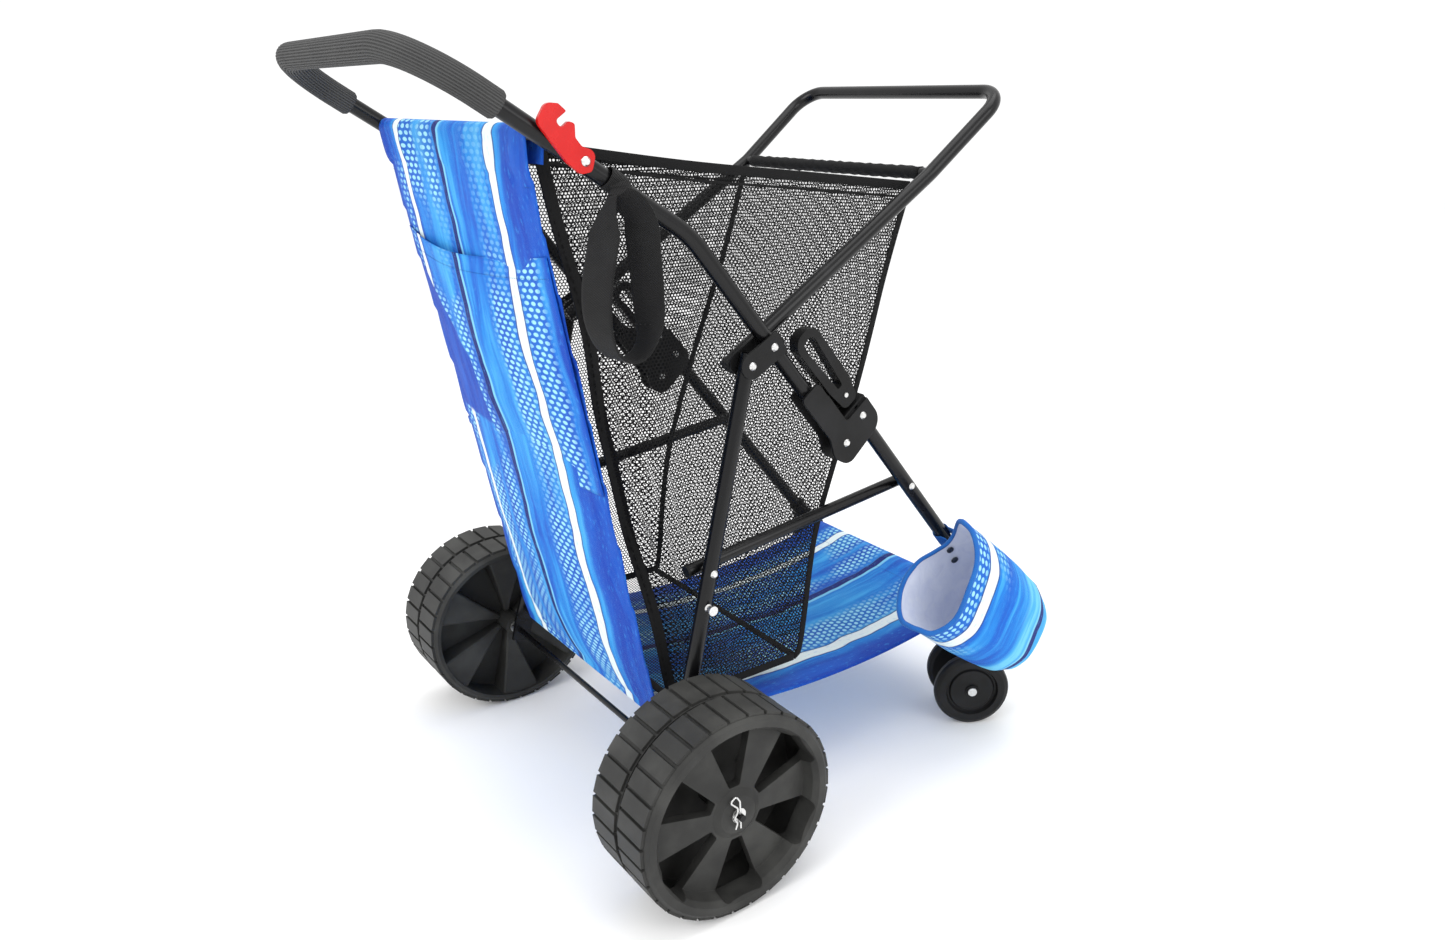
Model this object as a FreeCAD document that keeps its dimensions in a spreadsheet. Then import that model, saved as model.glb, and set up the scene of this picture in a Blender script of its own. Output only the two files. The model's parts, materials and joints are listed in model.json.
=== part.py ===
import FreeCAD, Part
import math
import os

import Sketcher

from FreeCAD import Placement, Rotation, Vector

# Folding beach cart. Millimetres. +Z is up, +X is the cart's right, +Y is the way it rolls, casters first.
# Places are worked out from the point on the ground under the rear axle, then every sub-part is moved
# back by origin_y, so that the model's origin is the middle of the cart's footprint, on the ground.

DIMENSIONS = [
    ("origin_y", 176.2, "distance from the rear axle to the model's origin"),
    ("frame_x", 225.0, "side tubes' centre plane, from the middle"),
    ("tube_r", 9.5, "frame tube, outer radius"),
    ("tube_wall", 1.2, "tube wall"),
    ("handle_top_x", 219.0, "handle tube's centre at its top corners"),
    ("hoop_x", 203.0, "front hoop's side plane"),
    ("hoop_top_x", 211.0, "front hoop's centre at its top corners"),
    ("hoop_r", 9.0, "front hoop tube, outer radius"),
    ("bar_r", 7.0, "cross bars, outer radius"),
    ("brace_x", 203.0, "side braces' centre plane"),
    ("brace_r", 8.0, "side braces, outer radius"),
    ("foam_r", 15.0, "foam grip, outer radius"),
    ("handle_end_y", 265.2, "handle tube's lower end"),
    ("handle_end_z", 477.0, "handle tube's lower end"),
    ("hinge_y", 257.9, "main folding hinge"),
    ("hinge_z", 486.5, "main folding hinge"),
    ("handle_bend_y", 53.6, "bend of the handle tube"),
    ("handle_bend_z", 753.0, "bend of the handle tube"),
    ("handle_top_y", -217.2, "handle's cross part"),
    ("handle_top_z", 934.1, "handle's cross part"),
    ("handle_bend_radius", 120.0, "radius of the handle tube's bend"),
    ("handle_corner_radius", 75.0, "radius of the handle's two corners"),
    ("foam_end_y", -141.0, "where the foam grip ends"),
    ("rear_pivot_y", 120.8, "rear leg's pivot"),
    ("rear_pivot_z", 603.7, "rear leg's pivot"),
    ("hoop_pivot_y", 151.9, "front hoop's pivot"),
    ("hoop_pivot_z", 621.5, "front hoop's pivot"),
    ("hoop_end_y", 109.3, "front hoop's lower end"),
    ("hoop_end_z", 600.5, "front hoop's lower end"),
    ("hoop_bend_y", 422.5, "front hoop's bend"),
    ("hoop_bend_z", 800.7, "front hoop's bend"),
    ("hoop_top_y", 546.3, "front hoop's cross part"),
    ("hoop_top_z", 898.5, "front hoop's cross part"),
    ("hoop_bend_radius", 90.0, "radius of the hoop's bends"),
    ("hoop_corner_radius", 38.0, "radius of the hoop's corners"),
    ("front_tube_y", 284.0, "front tube's fixing in the hinge housing"),
    ("front_tube_z", 517.4, "front tube's fixing in the hinge housing"),
    ("front_bar_y", 555.5, "platform's front bar"),
    ("front_bar_z", 167.6, "platform's front bar"),
    ("brace_rear_y", 59.8, "brace's pivot on the rear leg"),
    ("brace_rear_z", 363.0, "brace's pivot on the rear leg"),
    ("brace_front_y", 373.3, "brace's pivot on the front tube"),
    ("brace_front_z", 402.3, "brace's pivot on the front tube"),
    ("bag_bar_y", -105.0, "bag's rear bar"),
    ("bag_bar_z", 859.0, "bag's rear bar"),
    ("rear_bar_y", 10.0, "platform's rear bar"),
    ("rear_bar_z", 167.0, "platform's rear bar"),
    ("stud_reach", 290.0, "storage stud, from the rear leg's pivot"),
    ("rivet_r", 3.0, "rivet shank"),
    ("rivet_head_r", 5.0, "rivet head"),
    ("rivet_gap", 0.05, "radial clearance of a turning rivet"),
    ("bore_gap", 0.3, "radial clearance of the front tube in its hinge housing"),
    ("plate_gauge", 3.0, "pivot bracket's plate"),
    ("plate_half_width", 15.0, "pivot bracket's half width"),
    ("axle_r", 4.0, "axle rod"),
    ("axle_half_length", 369.0, "axle, from the middle to its end"),
    ("wheel_r", 127.0, "rear wheel over its lugs"),
    ("lug_height", 4.0, "tread lug, height"),
    ("lug_width", 20.5, "tread lug, along the tread"),
    ("lug_count", 32.0, "lugs in each row"),
    ("wheel_inner_x", 249.0, "rear wheel's inner face"),
    ("wheel_width", 119.0, "rear wheel's width"),
    ("rim_wall", 9.0, "rear wheel's barrel wall"),
    ("hub_r", 23.0, "rear wheel's hub"),
    ("spoke_count", 6.0, "windows between the spokes"),
    ("caster_x", 228.0, "caster's swivel axis"),
    ("caster_y", 536.0, "caster's swivel axis"),
    ("caster_trail", 25.0, "caster's trail"),
    ("caster_yaw", -35.0, "the way both casters are turned, in degrees"),
    ("caster_wheel_r", 56.0, "caster wheel's radius"),
    ("caster_wheel_width", 21.0, "caster wheel's width"),
    ("caster_gap", 48.0, "gap between a caster's two wheels"),
    ("caster_stem_r", 6.0, "caster's stem"),
    ("bag_half_width", 187.0, "mesh bag's half width"),
    ("bag_gauge", 3.0, "mesh bag's wall"),
    ("panel_half_width", 203.0, "back panel's and platform's half width"),
    ("panel_gauge", 3.0, "back panel's and platform's cloth"),
    ("strap_width", 38.0, "strap's webbing width"),
    ("strap_gauge", 2.4, "strap's webbing gauge"),
    ("pouch_wall", 5.0, "pouch's padded wall"),
    ("hook_gauge", 5.0, "storage hook's gauge"),
    ("lever_gauge", 17.0, "release lever's gauge"),
    ("lever_pin_up", 46.0, "release lever's pin, up the tube from the main hinge"),
    ("hook_share", 0.4405, "storage hook's rivet, as a share of the way up the sloping handle tube"),
]

doc = FreeCAD.newDocument("BeachCart")
sheet = doc.addObject("Spreadsheet::Sheet", "Sheet")
for row, (alias, number, meaning) in enumerate(DIMENSIONS, start=1):
    sheet.set(f"A{row}", alias)
    sheet.set(f"B{row}", str(number))
    sheet.set(f"C{row}", meaning)
    sheet.setAlias(f"B{row}", alias)
doc.recompute()

nodes = []


def size(alias):
    """The sheet's number for alias."""
    return float(sheet.get(alias))


def spot(name, x=0.0):
    """The point called name, whose y and z are in the sheet, at a given x."""
    return Vector(x, size(name + "_y"), size(name + "_z"))


def keep(feature, label):
    """Names a finished sub-part and lists it for export."""
    feature.Label = label
    nodes.append(feature)
    return feature


def mirrored(source, label):
    """The left-hand copy of a right-hand sub-part."""
    copy = doc.addObject("Part::Mirroring", label)
    copy.Source = source
    copy.Normal = Vector(1, 0, 0)
    return keep(copy, label)


def shaped(label, shape):
    """A sub-part whose shape is made by Part's functions, in places counted from the axle."""
    feature = doc.addObject("Part::Feature", label)
    feature.Shape = shape
    feature.Placement = Placement(Vector(0, -size("origin_y"), 0), Rotation())
    return keep(feature, label)


def bind(feature, **formulas):
    """Binds properties to the sheet. An underscore in a name stands for a dot."""
    for name, formula in formulas.items():
        feature.setExpression(name.replace("_", "."), formula)


# Bent tubes -------------------------------------------------------------------------------------


def bent_path(points, radii):
    """A wire of straight runs joined by tangent arcs, one radius for each inner point."""
    edges = []
    start = points[0]
    for before, corner, after, radius in zip(points, points[1:], points[2:], radii):
        into = (before - corner).normalize()
        out = (after - corner).normalize()
        half = into.getAngle(out) / 2
        reach = radius / math.tan(half)
        middle = corner + (into + out).normalize() * (radius / math.sin(half) - radius)
        first = corner + into * reach
        last = corner + out * reach
        edges.append(Part.LineSegment(start, first).toShape())
        edges.append(Part.Arc(first, middle, last).toShape())
        start = last
    edges.append(Part.LineSegment(start, points[-1]).toShape())
    return Part.Wire(edges)


def swept_rod(points, radii, radius):
    """A solid round rod along a bent path."""
    path = bent_path(points, radii)
    along = points[1] - points[0]
    section = Part.Wire(Part.makeCircle(radius, points[0], along))
    return path.makePipeShell([section], True, False)


def rod(start, end, radius):
    """A straight solid rod between two points."""
    return Part.makeCylinder(radius, (end - start).Length, start, end - start)


def pipe(start, end, radius):
    """A straight tube between two points."""
    return rod(start, end, radius).cut(rod(start, end, radius - size("tube_wall")))


def cross_hole(place, radius):
    """A cutter for a hole along X right through a side tube."""
    return rod(Vector(place.x - 60, place.y, place.z), Vector(place.x + 60, place.y, place.z), radius)


def unit_from(start, end):
    return (end - start).normalize()


def handle_points():
    """The handle tube's corner points, from its right lower end to its left one."""
    side = size("frame_x")
    top = size("handle_top_x")
    right = [spot("handle_end", side), spot("handle_bend", side), spot("handle_top", top)]
    left = [Vector(-place.x, place.y, place.z) for place in reversed(right)]
    return right + left


def handle_radii():
    bend = size("handle_bend_radius")
    corner = size("handle_corner_radius")
    return [bend, corner, corner, bend]


def hoop_points():
    side = size("hoop_x")
    top = size("hoop_top_x")
    right = [spot("hoop_end", side), spot("hoop_bend", side), spot("hoop_top", top)]
    left = [Vector(-place.x, place.y, place.z) for place in reversed(right)]
    return right + left


def hoop_radii():
    bend = size("hoop_bend_radius")
    corner = size("hoop_corner_radius")
    return [bend, corner, corner, bend]


def foam_points():
    """The part of the handle's path that the foam covers."""
    right_bend, right_top, left_top, left_bend = handle_points()[1:5]
    share = (size("foam_end_y") - right_bend.y) / (right_top.y - right_bend.y)
    right_end = right_bend + (right_top - right_bend) * share
    left_end = left_bend + (left_top - left_bend) * share
    return [right_end, right_top, left_top, left_end]


def cross_bar(name, reach, radius, side_solid):
    """A bar across the cart, its ends saddled onto the side tubes."""
    bar = pipe(spot(name, -reach), spot(name, reach), radius)
    return bar.cut(side_solid)


HANDLE_SOLID = swept_rod(handle_points(), handle_radii(), size("tube_r"))
HOOP_SOLID = swept_rod(hoop_points(), hoop_radii(), size("hoop_r"))


def make_handle_tube():
    bore = swept_rod(handle_points(), handle_radii(), size("tube_r") - size("tube_wall"))
    tube = HANDLE_SOLID.cut(bore)
    for side in (1, -1):
        x = side * size("frame_x")
        tube = tube.cut(cross_hole(spot("hinge", x), size("rivet_r") + size("rivet_gap")))
        tube = tube.cut(cross_hole(spot("hoop_pivot", x), size("rivet_r")))
    tube = tube.cut(cross_hole(hook_pivot(), size("rivet_r")))
    shaped("handle_tube", tube)


def make_foam_grip():
    corner = size("handle_corner_radius")
    outer = swept_rod(foam_points(), [corner, corner], size("foam_r"))
    inner = swept_rod(foam_points(), [corner, corner], size("tube_r") + 0.1)
    return shaped("foam_grip", outer.cut(inner))


def make_hoop():
    bore = swept_rod(hoop_points(), hoop_radii(), size("hoop_r") - size("tube_wall"))
    tube = HOOP_SOLID.cut(bore)
    for side in (1, -1):
        hole = cross_hole(spot("hoop_pivot", side * size("hoop_x")), size("rivet_r") + size("rivet_gap"))
        tube = tube.cut(hole)
    shaped("hoop_tube", tube)
    caps = []
    end, bend = hoop_points()[:2]
    back = unit_from(bend, end)
    for side in (1, -1):
        place = Vector(side * end.x, end.y, end.z)
        cap = rod(place, place + back * 3.0, size("hoop_r"))
        plug = rod(place - back * 8.0, place, size("hoop_r") - size("tube_wall"))
        caps.append(cap.fuse(plug))
    shaped("hoop_end_plugs", Part.makeCompound(caps))
    shaped("bag_front_bar", cross_bar("hoop_bend", size("hoop_x"), size("bar_r"), HOOP_SOLID))


# Side frame: rear legs, front tubes and braces -----------------------------------------------------

AXLE = Vector(0, 0, size("wheel_r"))


def leg_point(distance, x=0.0):
    """A point on the rear leg's line, a distance below its pivot."""
    pivot = spot("rear_pivot", x)
    along = unit_from(spot("rear_pivot"), AXLE)
    return pivot + along * distance


def leg_length():
    return (spot("rear_pivot") - AXLE).Length


def make_rear_leg():
    x = size("frame_x")
    radius = size("tube_r")
    foot_start = leg_length() - 62.0
    squash_end = leg_length() - 22.0
    foot_end = leg_length() + 13.0
    along = unit_from(spot("rear_pivot"), AXLE)
    tube = rod(leg_point(-13.0, x), leg_point(foot_start, x), radius)
    round_end = Part.Wire(Part.makeCircle(radius, leg_point(foot_start, x), along))
    across = along.cross(Vector(1, 0, 0)).normalize()
    half_flat = 13.0
    half_gauge = 3.0
    corners = []
    for dx, dn in ((-1, -1), (1, -1), (1, 1), (-1, 1), (-1, -1)):
        corner = leg_point(squash_end, x) + Vector(dx * half_gauge, 0, 0) + across * (dn * half_flat)
        corners.append(corner)
    flat_wire = Part.makePolygon(corners)
    tongue = Part.Face(flat_wire).extrude(along * (foot_end - squash_end))
    taper = Part.makeLoft([round_end, flat_wire], True)
    bore = rod(leg_point(-13.0, x), leg_point(foot_start - 2.0, x), radius - size("tube_wall"))
    leg = tube.cut(bore).fuse(taper).fuse(tongue)
    leg = leg.cut(cross_hole(spot("rear_pivot", x), size("rivet_r") + size("rivet_gap")))
    leg = leg.cut(cross_hole(spot("brace_rear", x), size("rivet_r")))
    leg = leg.cut(cross_hole(Vector(x, AXLE.y, AXLE.z), size("axle_r")))
    leg = leg.cut(cross_hole(leg_point(size("stud_reach"), x), size("rivet_r")))
    right = shaped("rear_leg_right", leg.removeSplitter())
    mirrored(right, "rear_leg_left")


def front_tube_ends(x):
    top = spot("front_tube", x)
    bar = spot("front_bar", x)
    along = unit_from(top, bar)
    return top - along * 14.0, bar - along * 22.0


def make_front_tube():
    x = size("frame_x")
    top, foot = front_tube_ends(x)
    tube = pipe(top, foot, size("tube_r"))
    tube = tube.cut(cross_hole(spot("front_tube", x), size("rivet_r")))
    tube = tube.cut(cross_hole(spot("brace_front", x), size("rivet_r")))
    right = shaped("front_tube_right", tube)
    mirrored(right, "front_tube_left")


def make_brace():
    """A side brace. Its front end is the linkage's open pivot: it stops short of the front tube's rivet."""
    x = size("brace_x")
    rear = spot("brace_rear", x)
    front = spot("brace_front", x)
    along = unit_from(rear, front)
    start = rear - along * 17.0
    end = front + along * 13.0
    tube = pipe(start, end, size("brace_r"))
    tube = tube.cut(cross_hole(rear, size("rivet_r") + size("rivet_gap")))
    right = shaped("side_brace_right", tube)
    mirrored(right, "side_brace_left")
    caps = []
    for place, outward in ((start, along * -1), (end, along)):
        cap = rod(place, place + outward * 3.0, size("brace_r"))
        plug = rod(place - outward * 8.0, place, size("brace_r") - size("tube_wall"))
        caps.append(cap.fuse(plug))
    plugs = shaped("brace_plugs_right", Part.makeCompound(caps))
    mirrored(plugs, "brace_plugs_left")


def make_platform_bars():
    x = size("frame_x")
    legs = []
    for side in (1, -1):
        leg_end = leg_point(leg_length() - 20, side * x)
        legs.append(rod(leg_point(0, side * x), leg_end, size("tube_r")))
    rear = cross_bar("rear_bar", x, size("bar_r"), Part.makeCompound(legs))
    shaped("platform_rear_bar", rear)
    shaped("platform_front_bar", pipe(spot("front_bar", -x + 14), spot("front_bar", x - 14), size("bar_r")))
    shaped("bag_rear_bar", cross_bar("bag_bar", x, size("bar_r"), HANDLE_SOLID))


# Rivets, studs and the axle -------------------------------------------------------------------------


def rivet(place, inner_x, outer_x, head_inside=True):
    """A rivet along X with a domed outer head and, where there is room, a flat inner one."""
    shank = rod(Vector(inner_x, place.y, place.z), Vector(outer_x, place.y, place.z), size("rivet_r"))
    head_r = size("rivet_head_r")
    head = Part.makeCone(head_r, head_r * 0.6, 2.2, Vector(outer_x, place.y, place.z), Vector(1, 0, 0))
    solid = shank.fuse(head)
    if head_inside:
        inside = Part.makeCylinder(head_r, 1.8, Vector(inner_x - 1.8, place.y, place.z), Vector(1, 0, 0))
        solid = solid.fuse(inside)
    return solid.removeSplitter()


def both_sides(solids):
    """The right-hand solids and their mirror images, as one group."""
    left = [solid.mirror(Vector(0, 0, 0), Vector(1, 0, 0)) for solid in solids]
    return Part.makeCompound(solids + left)


def outer_plate_x():
    """The outer face of the pivot bracket's outer plate."""
    return size("frame_x") + size("tube_r") + 0.5 + size("plate_gauge")


def inner_plate_x():
    """The inner face of the pivot bracket's inner plate."""
    return size("frame_x") - size("tube_r") - 0.5 - size("plate_gauge") + 0.5


def make_rivets():
    outer = outer_plate_x()
    leg_rivet = rivet(spot("rear_pivot"), inner_plate_x(), outer, head_inside=False)
    hoop_rivet = rivet(spot("hoop_pivot"), size("hoop_x") - size("hoop_r") - 0.2, outer)
    shaped("bracket_rivets", both_sides([leg_rivet, hoop_rivet]))
    brace_inner = size("brace_x") - size("brace_r") - 0.2
    leg_outer = size("frame_x") + size("tube_r")
    shaped("brace_rivets", both_sides([rivet(spot("brace_rear"), brace_inner, leg_outer)]))
    tube_inner = size("frame_x") - size("tube_r")
    front = rivet(spot("brace_front"), tube_inner, leg_outer, head_inside=False)
    shaped("front_tube_rivets", both_sides([front]))
    inner = housing_inner_x()
    outer = housing_outer_x()
    through_housing = [rivet(spot(name), inner, outer) for name in ("front_tube", "hinge")]
    shaped("housing_rivets", both_sides(through_housing))
    pin_place = lever_pivot()
    pin_start = Vector(inner, pin_place.y, pin_place.z)
    pin_end = pin_start + Vector(lever_offset() + size("lever_gauge") + 1.5, 0, 0)
    shaped("lever_pins", both_sides([rod(pin_start, pin_end, size("rivet_r"))]))
    hook_place = hook_pivot()
    tube_half = size("tube_r")
    hook_shank = rivet(hook_place, hook_place.x - tube_half, hook_inner_x() + size("hook_gauge") + 0.3)
    shaped("hook_rivet", hook_shank)
    stud_place = leg_point(size("stud_reach"))
    stud = rivet(stud_place, tube_inner, leg_outer, head_inside=False)
    outward = Vector(1, 0, 0)
    neck_start = Vector(leg_outer, stud_place.y, stud_place.z)
    neck = rod(neck_start, neck_start + outward * 9.0, 3.5)
    head = rod(neck_start + outward * 9.0, neck_start + outward * 11.5, 6.0)
    shaped("storage_stud", stud.fuse(neck).fuse(head).removeSplitter())


def make_axle():
    reach = size("axle_half_length")
    axle = rod(Vector(-reach, AXLE.y, AXLE.z), Vector(reach, AXLE.y, AXLE.z), size("axle_r"))
    hole_x = pin_x()
    for side in (1, -1):
        place = Vector(side * hole_x, AXLE.y, AXLE.z)
        hole = rod(place - Vector(0, 0, 20), place + Vector(0, 0, 20), 1.3)
        axle = axle.cut(hole)
    shaped("axle", axle)
    washers = []
    gauge = 2.0
    for x in (size("frame_x") + 3.0, size("wheel_inner_x") - 4.2, hub_outer_x() + 0.2):
        ring = Part.makeCylinder(9.0, gauge, Vector(x, AXLE.y, AXLE.z), Vector(1, 0, 0))
        bore = Part.makeCylinder(size("axle_r"), gauge, Vector(x, AXLE.y, AXLE.z), Vector(1, 0, 0))
        washers.append(ring.cut(bore))
    shaped("axle_washers", both_sides(washers))


def hub_outer_x():
    return size("wheel_inner_x") + size("wheel_width") - 9.0


def pin_x():
    return hub_outer_x() + 4.6


def make_hitch_pins():
    """Spring clips: one straight prong down through the axle, one bowed prong round it, and an eye on top."""
    wire_r = 1.15
    path = [
        (0.0, -15.0),
        (0.0, 20.0),
        (-5.0, 29.0),
        (-13.0, 23.0),
        (-3.6, 13.0),
        (-3.4, 6.5),
        (-8.4, 0.0),
        (-4.2, -7.0),
        (-7.0, -14.0),
    ]
    prong = [Vector(pin_x(), AXLE.y + forward, AXLE.z + up) for forward, up in path]
    clip = swept_rod(prong, [3.0, 3.2, 3.2, 3.0, 3.0, 3.0, 3.0], wire_r)
    shaped("hitch_pins", both_sides([clip]))


# Moulded plates: pivot brackets, hinge housings, levers, hook ---------------------------------------


def plane_of(body, role):
    for feature in body.Origin.OriginFeatures:
        if feature.Role == role:
            return feature
    raise RuntimeError(role + " not found")


def new_body(label):
    body = doc.addObject("PartDesign::Body", label)
    return keep(body, label)


def new_sketch(body, name, role, offset=0.0):
    sketch = body.newObject("Sketcher::SketchObject", name)
    sketch.AttachmentSupport = [(plane_of(body, role), "")]
    sketch.MapMode = "FlatFace"
    sketch.AttachmentOffset = Placement(Vector(0, 0, offset), Rotation())
    return sketch


def add_outline(sketch, points):
    """A closed outline of straight sides."""
    flat = [Vector(a, b, 0) for a, b in points]
    for start, end in zip(flat, flat[1:] + flat[:1]):
        sketch.addGeometry(Part.LineSegment(start, end), False)


def rounded_outline(sketch, points):
    """A closed outline of (across, up, corner radius) points, with an arc at each rounded corner."""
    count = len(points)
    joints = []
    for index, (a, b, radius) in enumerate(points):
        corner = Vector(a, b, 0)
        if radius == 0:
            joints.append((corner, None, corner))
            continue
        before = Vector(*points[index - 1][:2], 0)
        after = Vector(*points[(index + 1) % count][:2], 0)
        into = (before - corner).normalize()
        out = (after - corner).normalize()
        half = into.getAngle(out) / 2
        reach = radius / math.tan(half)
        middle = corner + (into + out).normalize() * (radius / math.sin(half) - radius)
        joints.append((corner + into * reach, middle, corner + out * reach))
    for index, (first, middle, last) in enumerate(joints):
        if middle is not None:
            sketch.addGeometry(Part.Arc(first, middle, last), False)
        following = joints[(index + 1) % count][0]
        if (following - last).Length > 1e-6:
            sketch.addGeometry(Part.LineSegment(last, following), False)


def add_circle(sketch, place, formula, radius):
    """A circle whose radius the sheet sets."""
    index = sketch.addGeometry(Part.Circle(Vector(place[0], place[1], 0), Vector(0, 0, 1), radius), False)
    name = f"radius{index}"
    constraint = sketch.addConstraint(Sketcher.Constraint("Radius", index, radius))
    sketch.renameConstraint(constraint, name)
    sketch.setExpression(f"Constraints.{name}", formula)
    return index


def pad(body, sketch, name, formula, reverse=False):
    feature = body.newObject("PartDesign::Pad", name)
    feature.Profile = sketch
    feature.Reversed = reverse
    feature.setExpression("Length", formula)
    return feature


def pocket_through(body, sketch, name, length=400.0):
    feature = body.newObject("PartDesign::Pocket", name)
    feature.Profile = sketch
    feature.Midplane = True
    feature.Length = length
    return feature


def pocket_up(body, sketch, name, formula):
    """A pocket that cuts on the side its sketch faces."""
    feature = body.newObject("PartDesign::Pocket", name)
    feature.Profile = sketch
    feature.Reversed = True
    feature.setExpression("Length", formula)
    return feature


def place_plate(body, x, place, angle):
    """Stands a plate drawn in its own YZ plane at a point, turned about X."""
    body.Placement = Placement(
        Vector(x, place.y - size("origin_y"), place.z), Rotation(Vector(1, 0, 0), angle)
    )


def tube_angle():
    """The way down the handle tube's lower part, about X, in degrees."""
    along = unit_from(spot("handle_bend"), spot("hinge"))
    return math.degrees(math.atan2(along.z, along.y))


def make_brackets():
    """Two plates on each side hold the handle tube, the hoop's rivet and the rear leg's pivot."""
    pivot = spot("rear_pivot")
    reach = spot("hoop_pivot") - pivot
    angle = math.degrees(math.atan2(reach.z, reach.y))
    half = size("plate_half_width")
    gauge = size("plate_gauge")
    outline = [
        (-half, -half, half * 0.98),
        (reach.Length + 13, -half, 5),
        (reach.Length + 13, half, 5),
        (-half, half, half * 0.98),
    ]
    outer = ("outer", outer_plate_x() - gauge, "Sheet.plate_gauge")
    inner = ("inner", inner_plate_x(), "Sheet.plate_gauge - 0.5")
    for name, x, gauge_formula in (outer, inner):
        body = new_body(f"pivot_plate_{name}_right")
        plate = new_sketch(body, f"Plate{name}", "YZ_Plane")
        rounded_outline(plate, outline)
        pad(body, plate, f"PlatePad{name}", gauge_formula)
        holes = new_sketch(body, f"PlateHoles{name}", "YZ_Plane")
        add_circle(holes, (0, 0), "Sheet.rivet_r", size("rivet_r"))
        add_circle(holes, (reach.Length, 0), "Sheet.rivet_r", size("rivet_r"))
        pocket_through(body, holes, f"PlateDrill{name}")
        place_plate(body, x, pivot, angle)
        mirrored(body, f"pivot_plate_{name}_left")


def housing_inner_x():
    return size("frame_x") - size("tube_r") - 3.5


def housing_outer_x():
    return size("frame_x") + size("tube_r") + 4.0


def front_tube_offset():
    """How far the front tube's line stands off the handle tube's line."""
    gap = spot("front_tube") - spot("hinge")
    along = unit_from(spot("handle_bend"), spot("hinge"))
    normal = Vector(0, -along.z, along.y)
    return gap.dot(along), gap.dot(normal)


def lever_offset():
    """The release lever's inner face, from the housing's."""
    return 4.0


def lever_pivot():
    """The release lever's pin, on the front tube's line above the tube's end."""
    along = unit_from(spot("handle_bend"), spot("hinge"))
    normal = Vector(0, -along.z, along.y)
    return spot("hinge") + along * -size("lever_pin_up") + normal * (front_tube_offset()[1] - 1.0)


def make_housing():
    """The hinge housing: two cheeks and a block that grips the front tube. The outer cheek bares the lever."""
    shift, offset = front_tube_offset()
    body = new_body("hinge_housing_right")
    cheek = new_sketch(body, "HousingOutline", "YZ_Plane")
    rounded_outline(
        cheek,
        [
            (-93, -15, 6),
            (-22, -15, 12),
            (2, -25, 14),
            (26, -16, 16),
            (20, 58, 22),
            (-48, 58, 12),
            (-66, 16, 10),
            (-93, 16, 6),
        ],
    )
    pad(body, cheek, "HousingPad", "2 * Sheet.tube_r + 7.5")
    cheek_gauge = 3.0
    slot = new_sketch(body, "HousingSlot", "YZ_Plane", cheek_gauge)
    add_outline(slot, [(-110, -40), (60, -40), (60, 10.3), (-27, 10.3), (-27, 90), (-110, 90)])
    pocket_up(body, slot, "HousingSlotCut", "2 * Sheet.tube_r + 1")
    round_slot = new_sketch(body, "HousingRoundSlot", "YZ_Plane", cheek_gauge)
    add_circle(round_slot, (0, 0), "Sheet.tube_r + 7.5", size("tube_r") + 7.5)
    pocket_up(body, round_slot, "HousingRoundCut", "2 * Sheet.tube_r + 1")
    outer_face = cheek_gauge + 2 * size("tube_r") + 1.0
    window = new_sketch(body, "HousingWindow", "YZ_Plane", outer_face - 0.5)
    rounded_outline(window, [(-110, 17, 0), (-22, 17, 5), (-22, 90, 0), (-110, 90, 0)])
    pocket_up(body, window, "HousingWindowCut", "Sheet.tube_r")
    holes = new_sketch(body, "HousingHoles", "YZ_Plane")
    add_circle(holes, (0, 0), "Sheet.rivet_r", size("rivet_r"))
    add_circle(holes, (shift, offset), "Sheet.rivet_r", size("rivet_r"))
    add_circle(holes, (-size("lever_pin_up"), offset - 1.0), "Sheet.rivet_r", size("rivet_r"))
    pocket_through(body, holes, "HousingDrill")
    bore = new_sketch(body, "HousingBore", "XZ_Plane", 15.2 - shift)
    across = size("frame_x") - housing_inner_x()
    add_circle(bore, (across, offset), "Sheet.tube_r + Sheet.bore_gap", size("tube_r") + size("bore_gap"))
    tube_bore = body.newObject("PartDesign::Pocket", "HousingTubeBore")
    tube_bore.Profile = bore
    tube_bore.Length = 120.0
    place_plate(body, housing_inner_x(), spot("hinge"), tube_angle())
    mirrored(body, "hinge_housing_left")


def make_lever():
    """The release lever: a finger loop on a pin between the housing's cheeks."""
    body = new_body("release_lever_right")
    outline = new_sketch(body, "LeverOutline", "YZ_Plane")
    rounded_outline(
        outline,
        [(-106, -19, 17), (-20, -17, 14), (15, -12, 9), (15, 12, 9), (-20, 19, 14), (-106, 19, 17)],
    )
    pad(body, outline, "LeverPad", "Sheet.lever_gauge")
    finger = new_sketch(body, "LeverFinger", "YZ_Plane")
    rounded_outline(finger, [(-96, -10, 9), (-14, -4, 3), (-14, 4, 3), (-96, 10, 9)])
    pocket_through(body, finger, "LeverLoop")
    pin = new_sketch(body, "LeverPinHole", "YZ_Plane")
    add_circle(pin, (0, 0), "Sheet.rivet_r + Sheet.rivet_gap", size("rivet_r") + size("rivet_gap"))
    pocket_through(body, pin, "LeverDrill")
    place_plate(body, housing_inner_x() + lever_offset(), lever_pivot(), tube_angle())
    mirrored(body, "release_lever_left")


def hook_pivot():
    """The storage hook's rivet, on the right-hand side of the handle tube."""
    bend, top = handle_points()[1:3]
    return bend + (top - bend) * size("hook_share")


def hook_inner_x():
    return hook_pivot().x + size("tube_r") + 0.7


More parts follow.
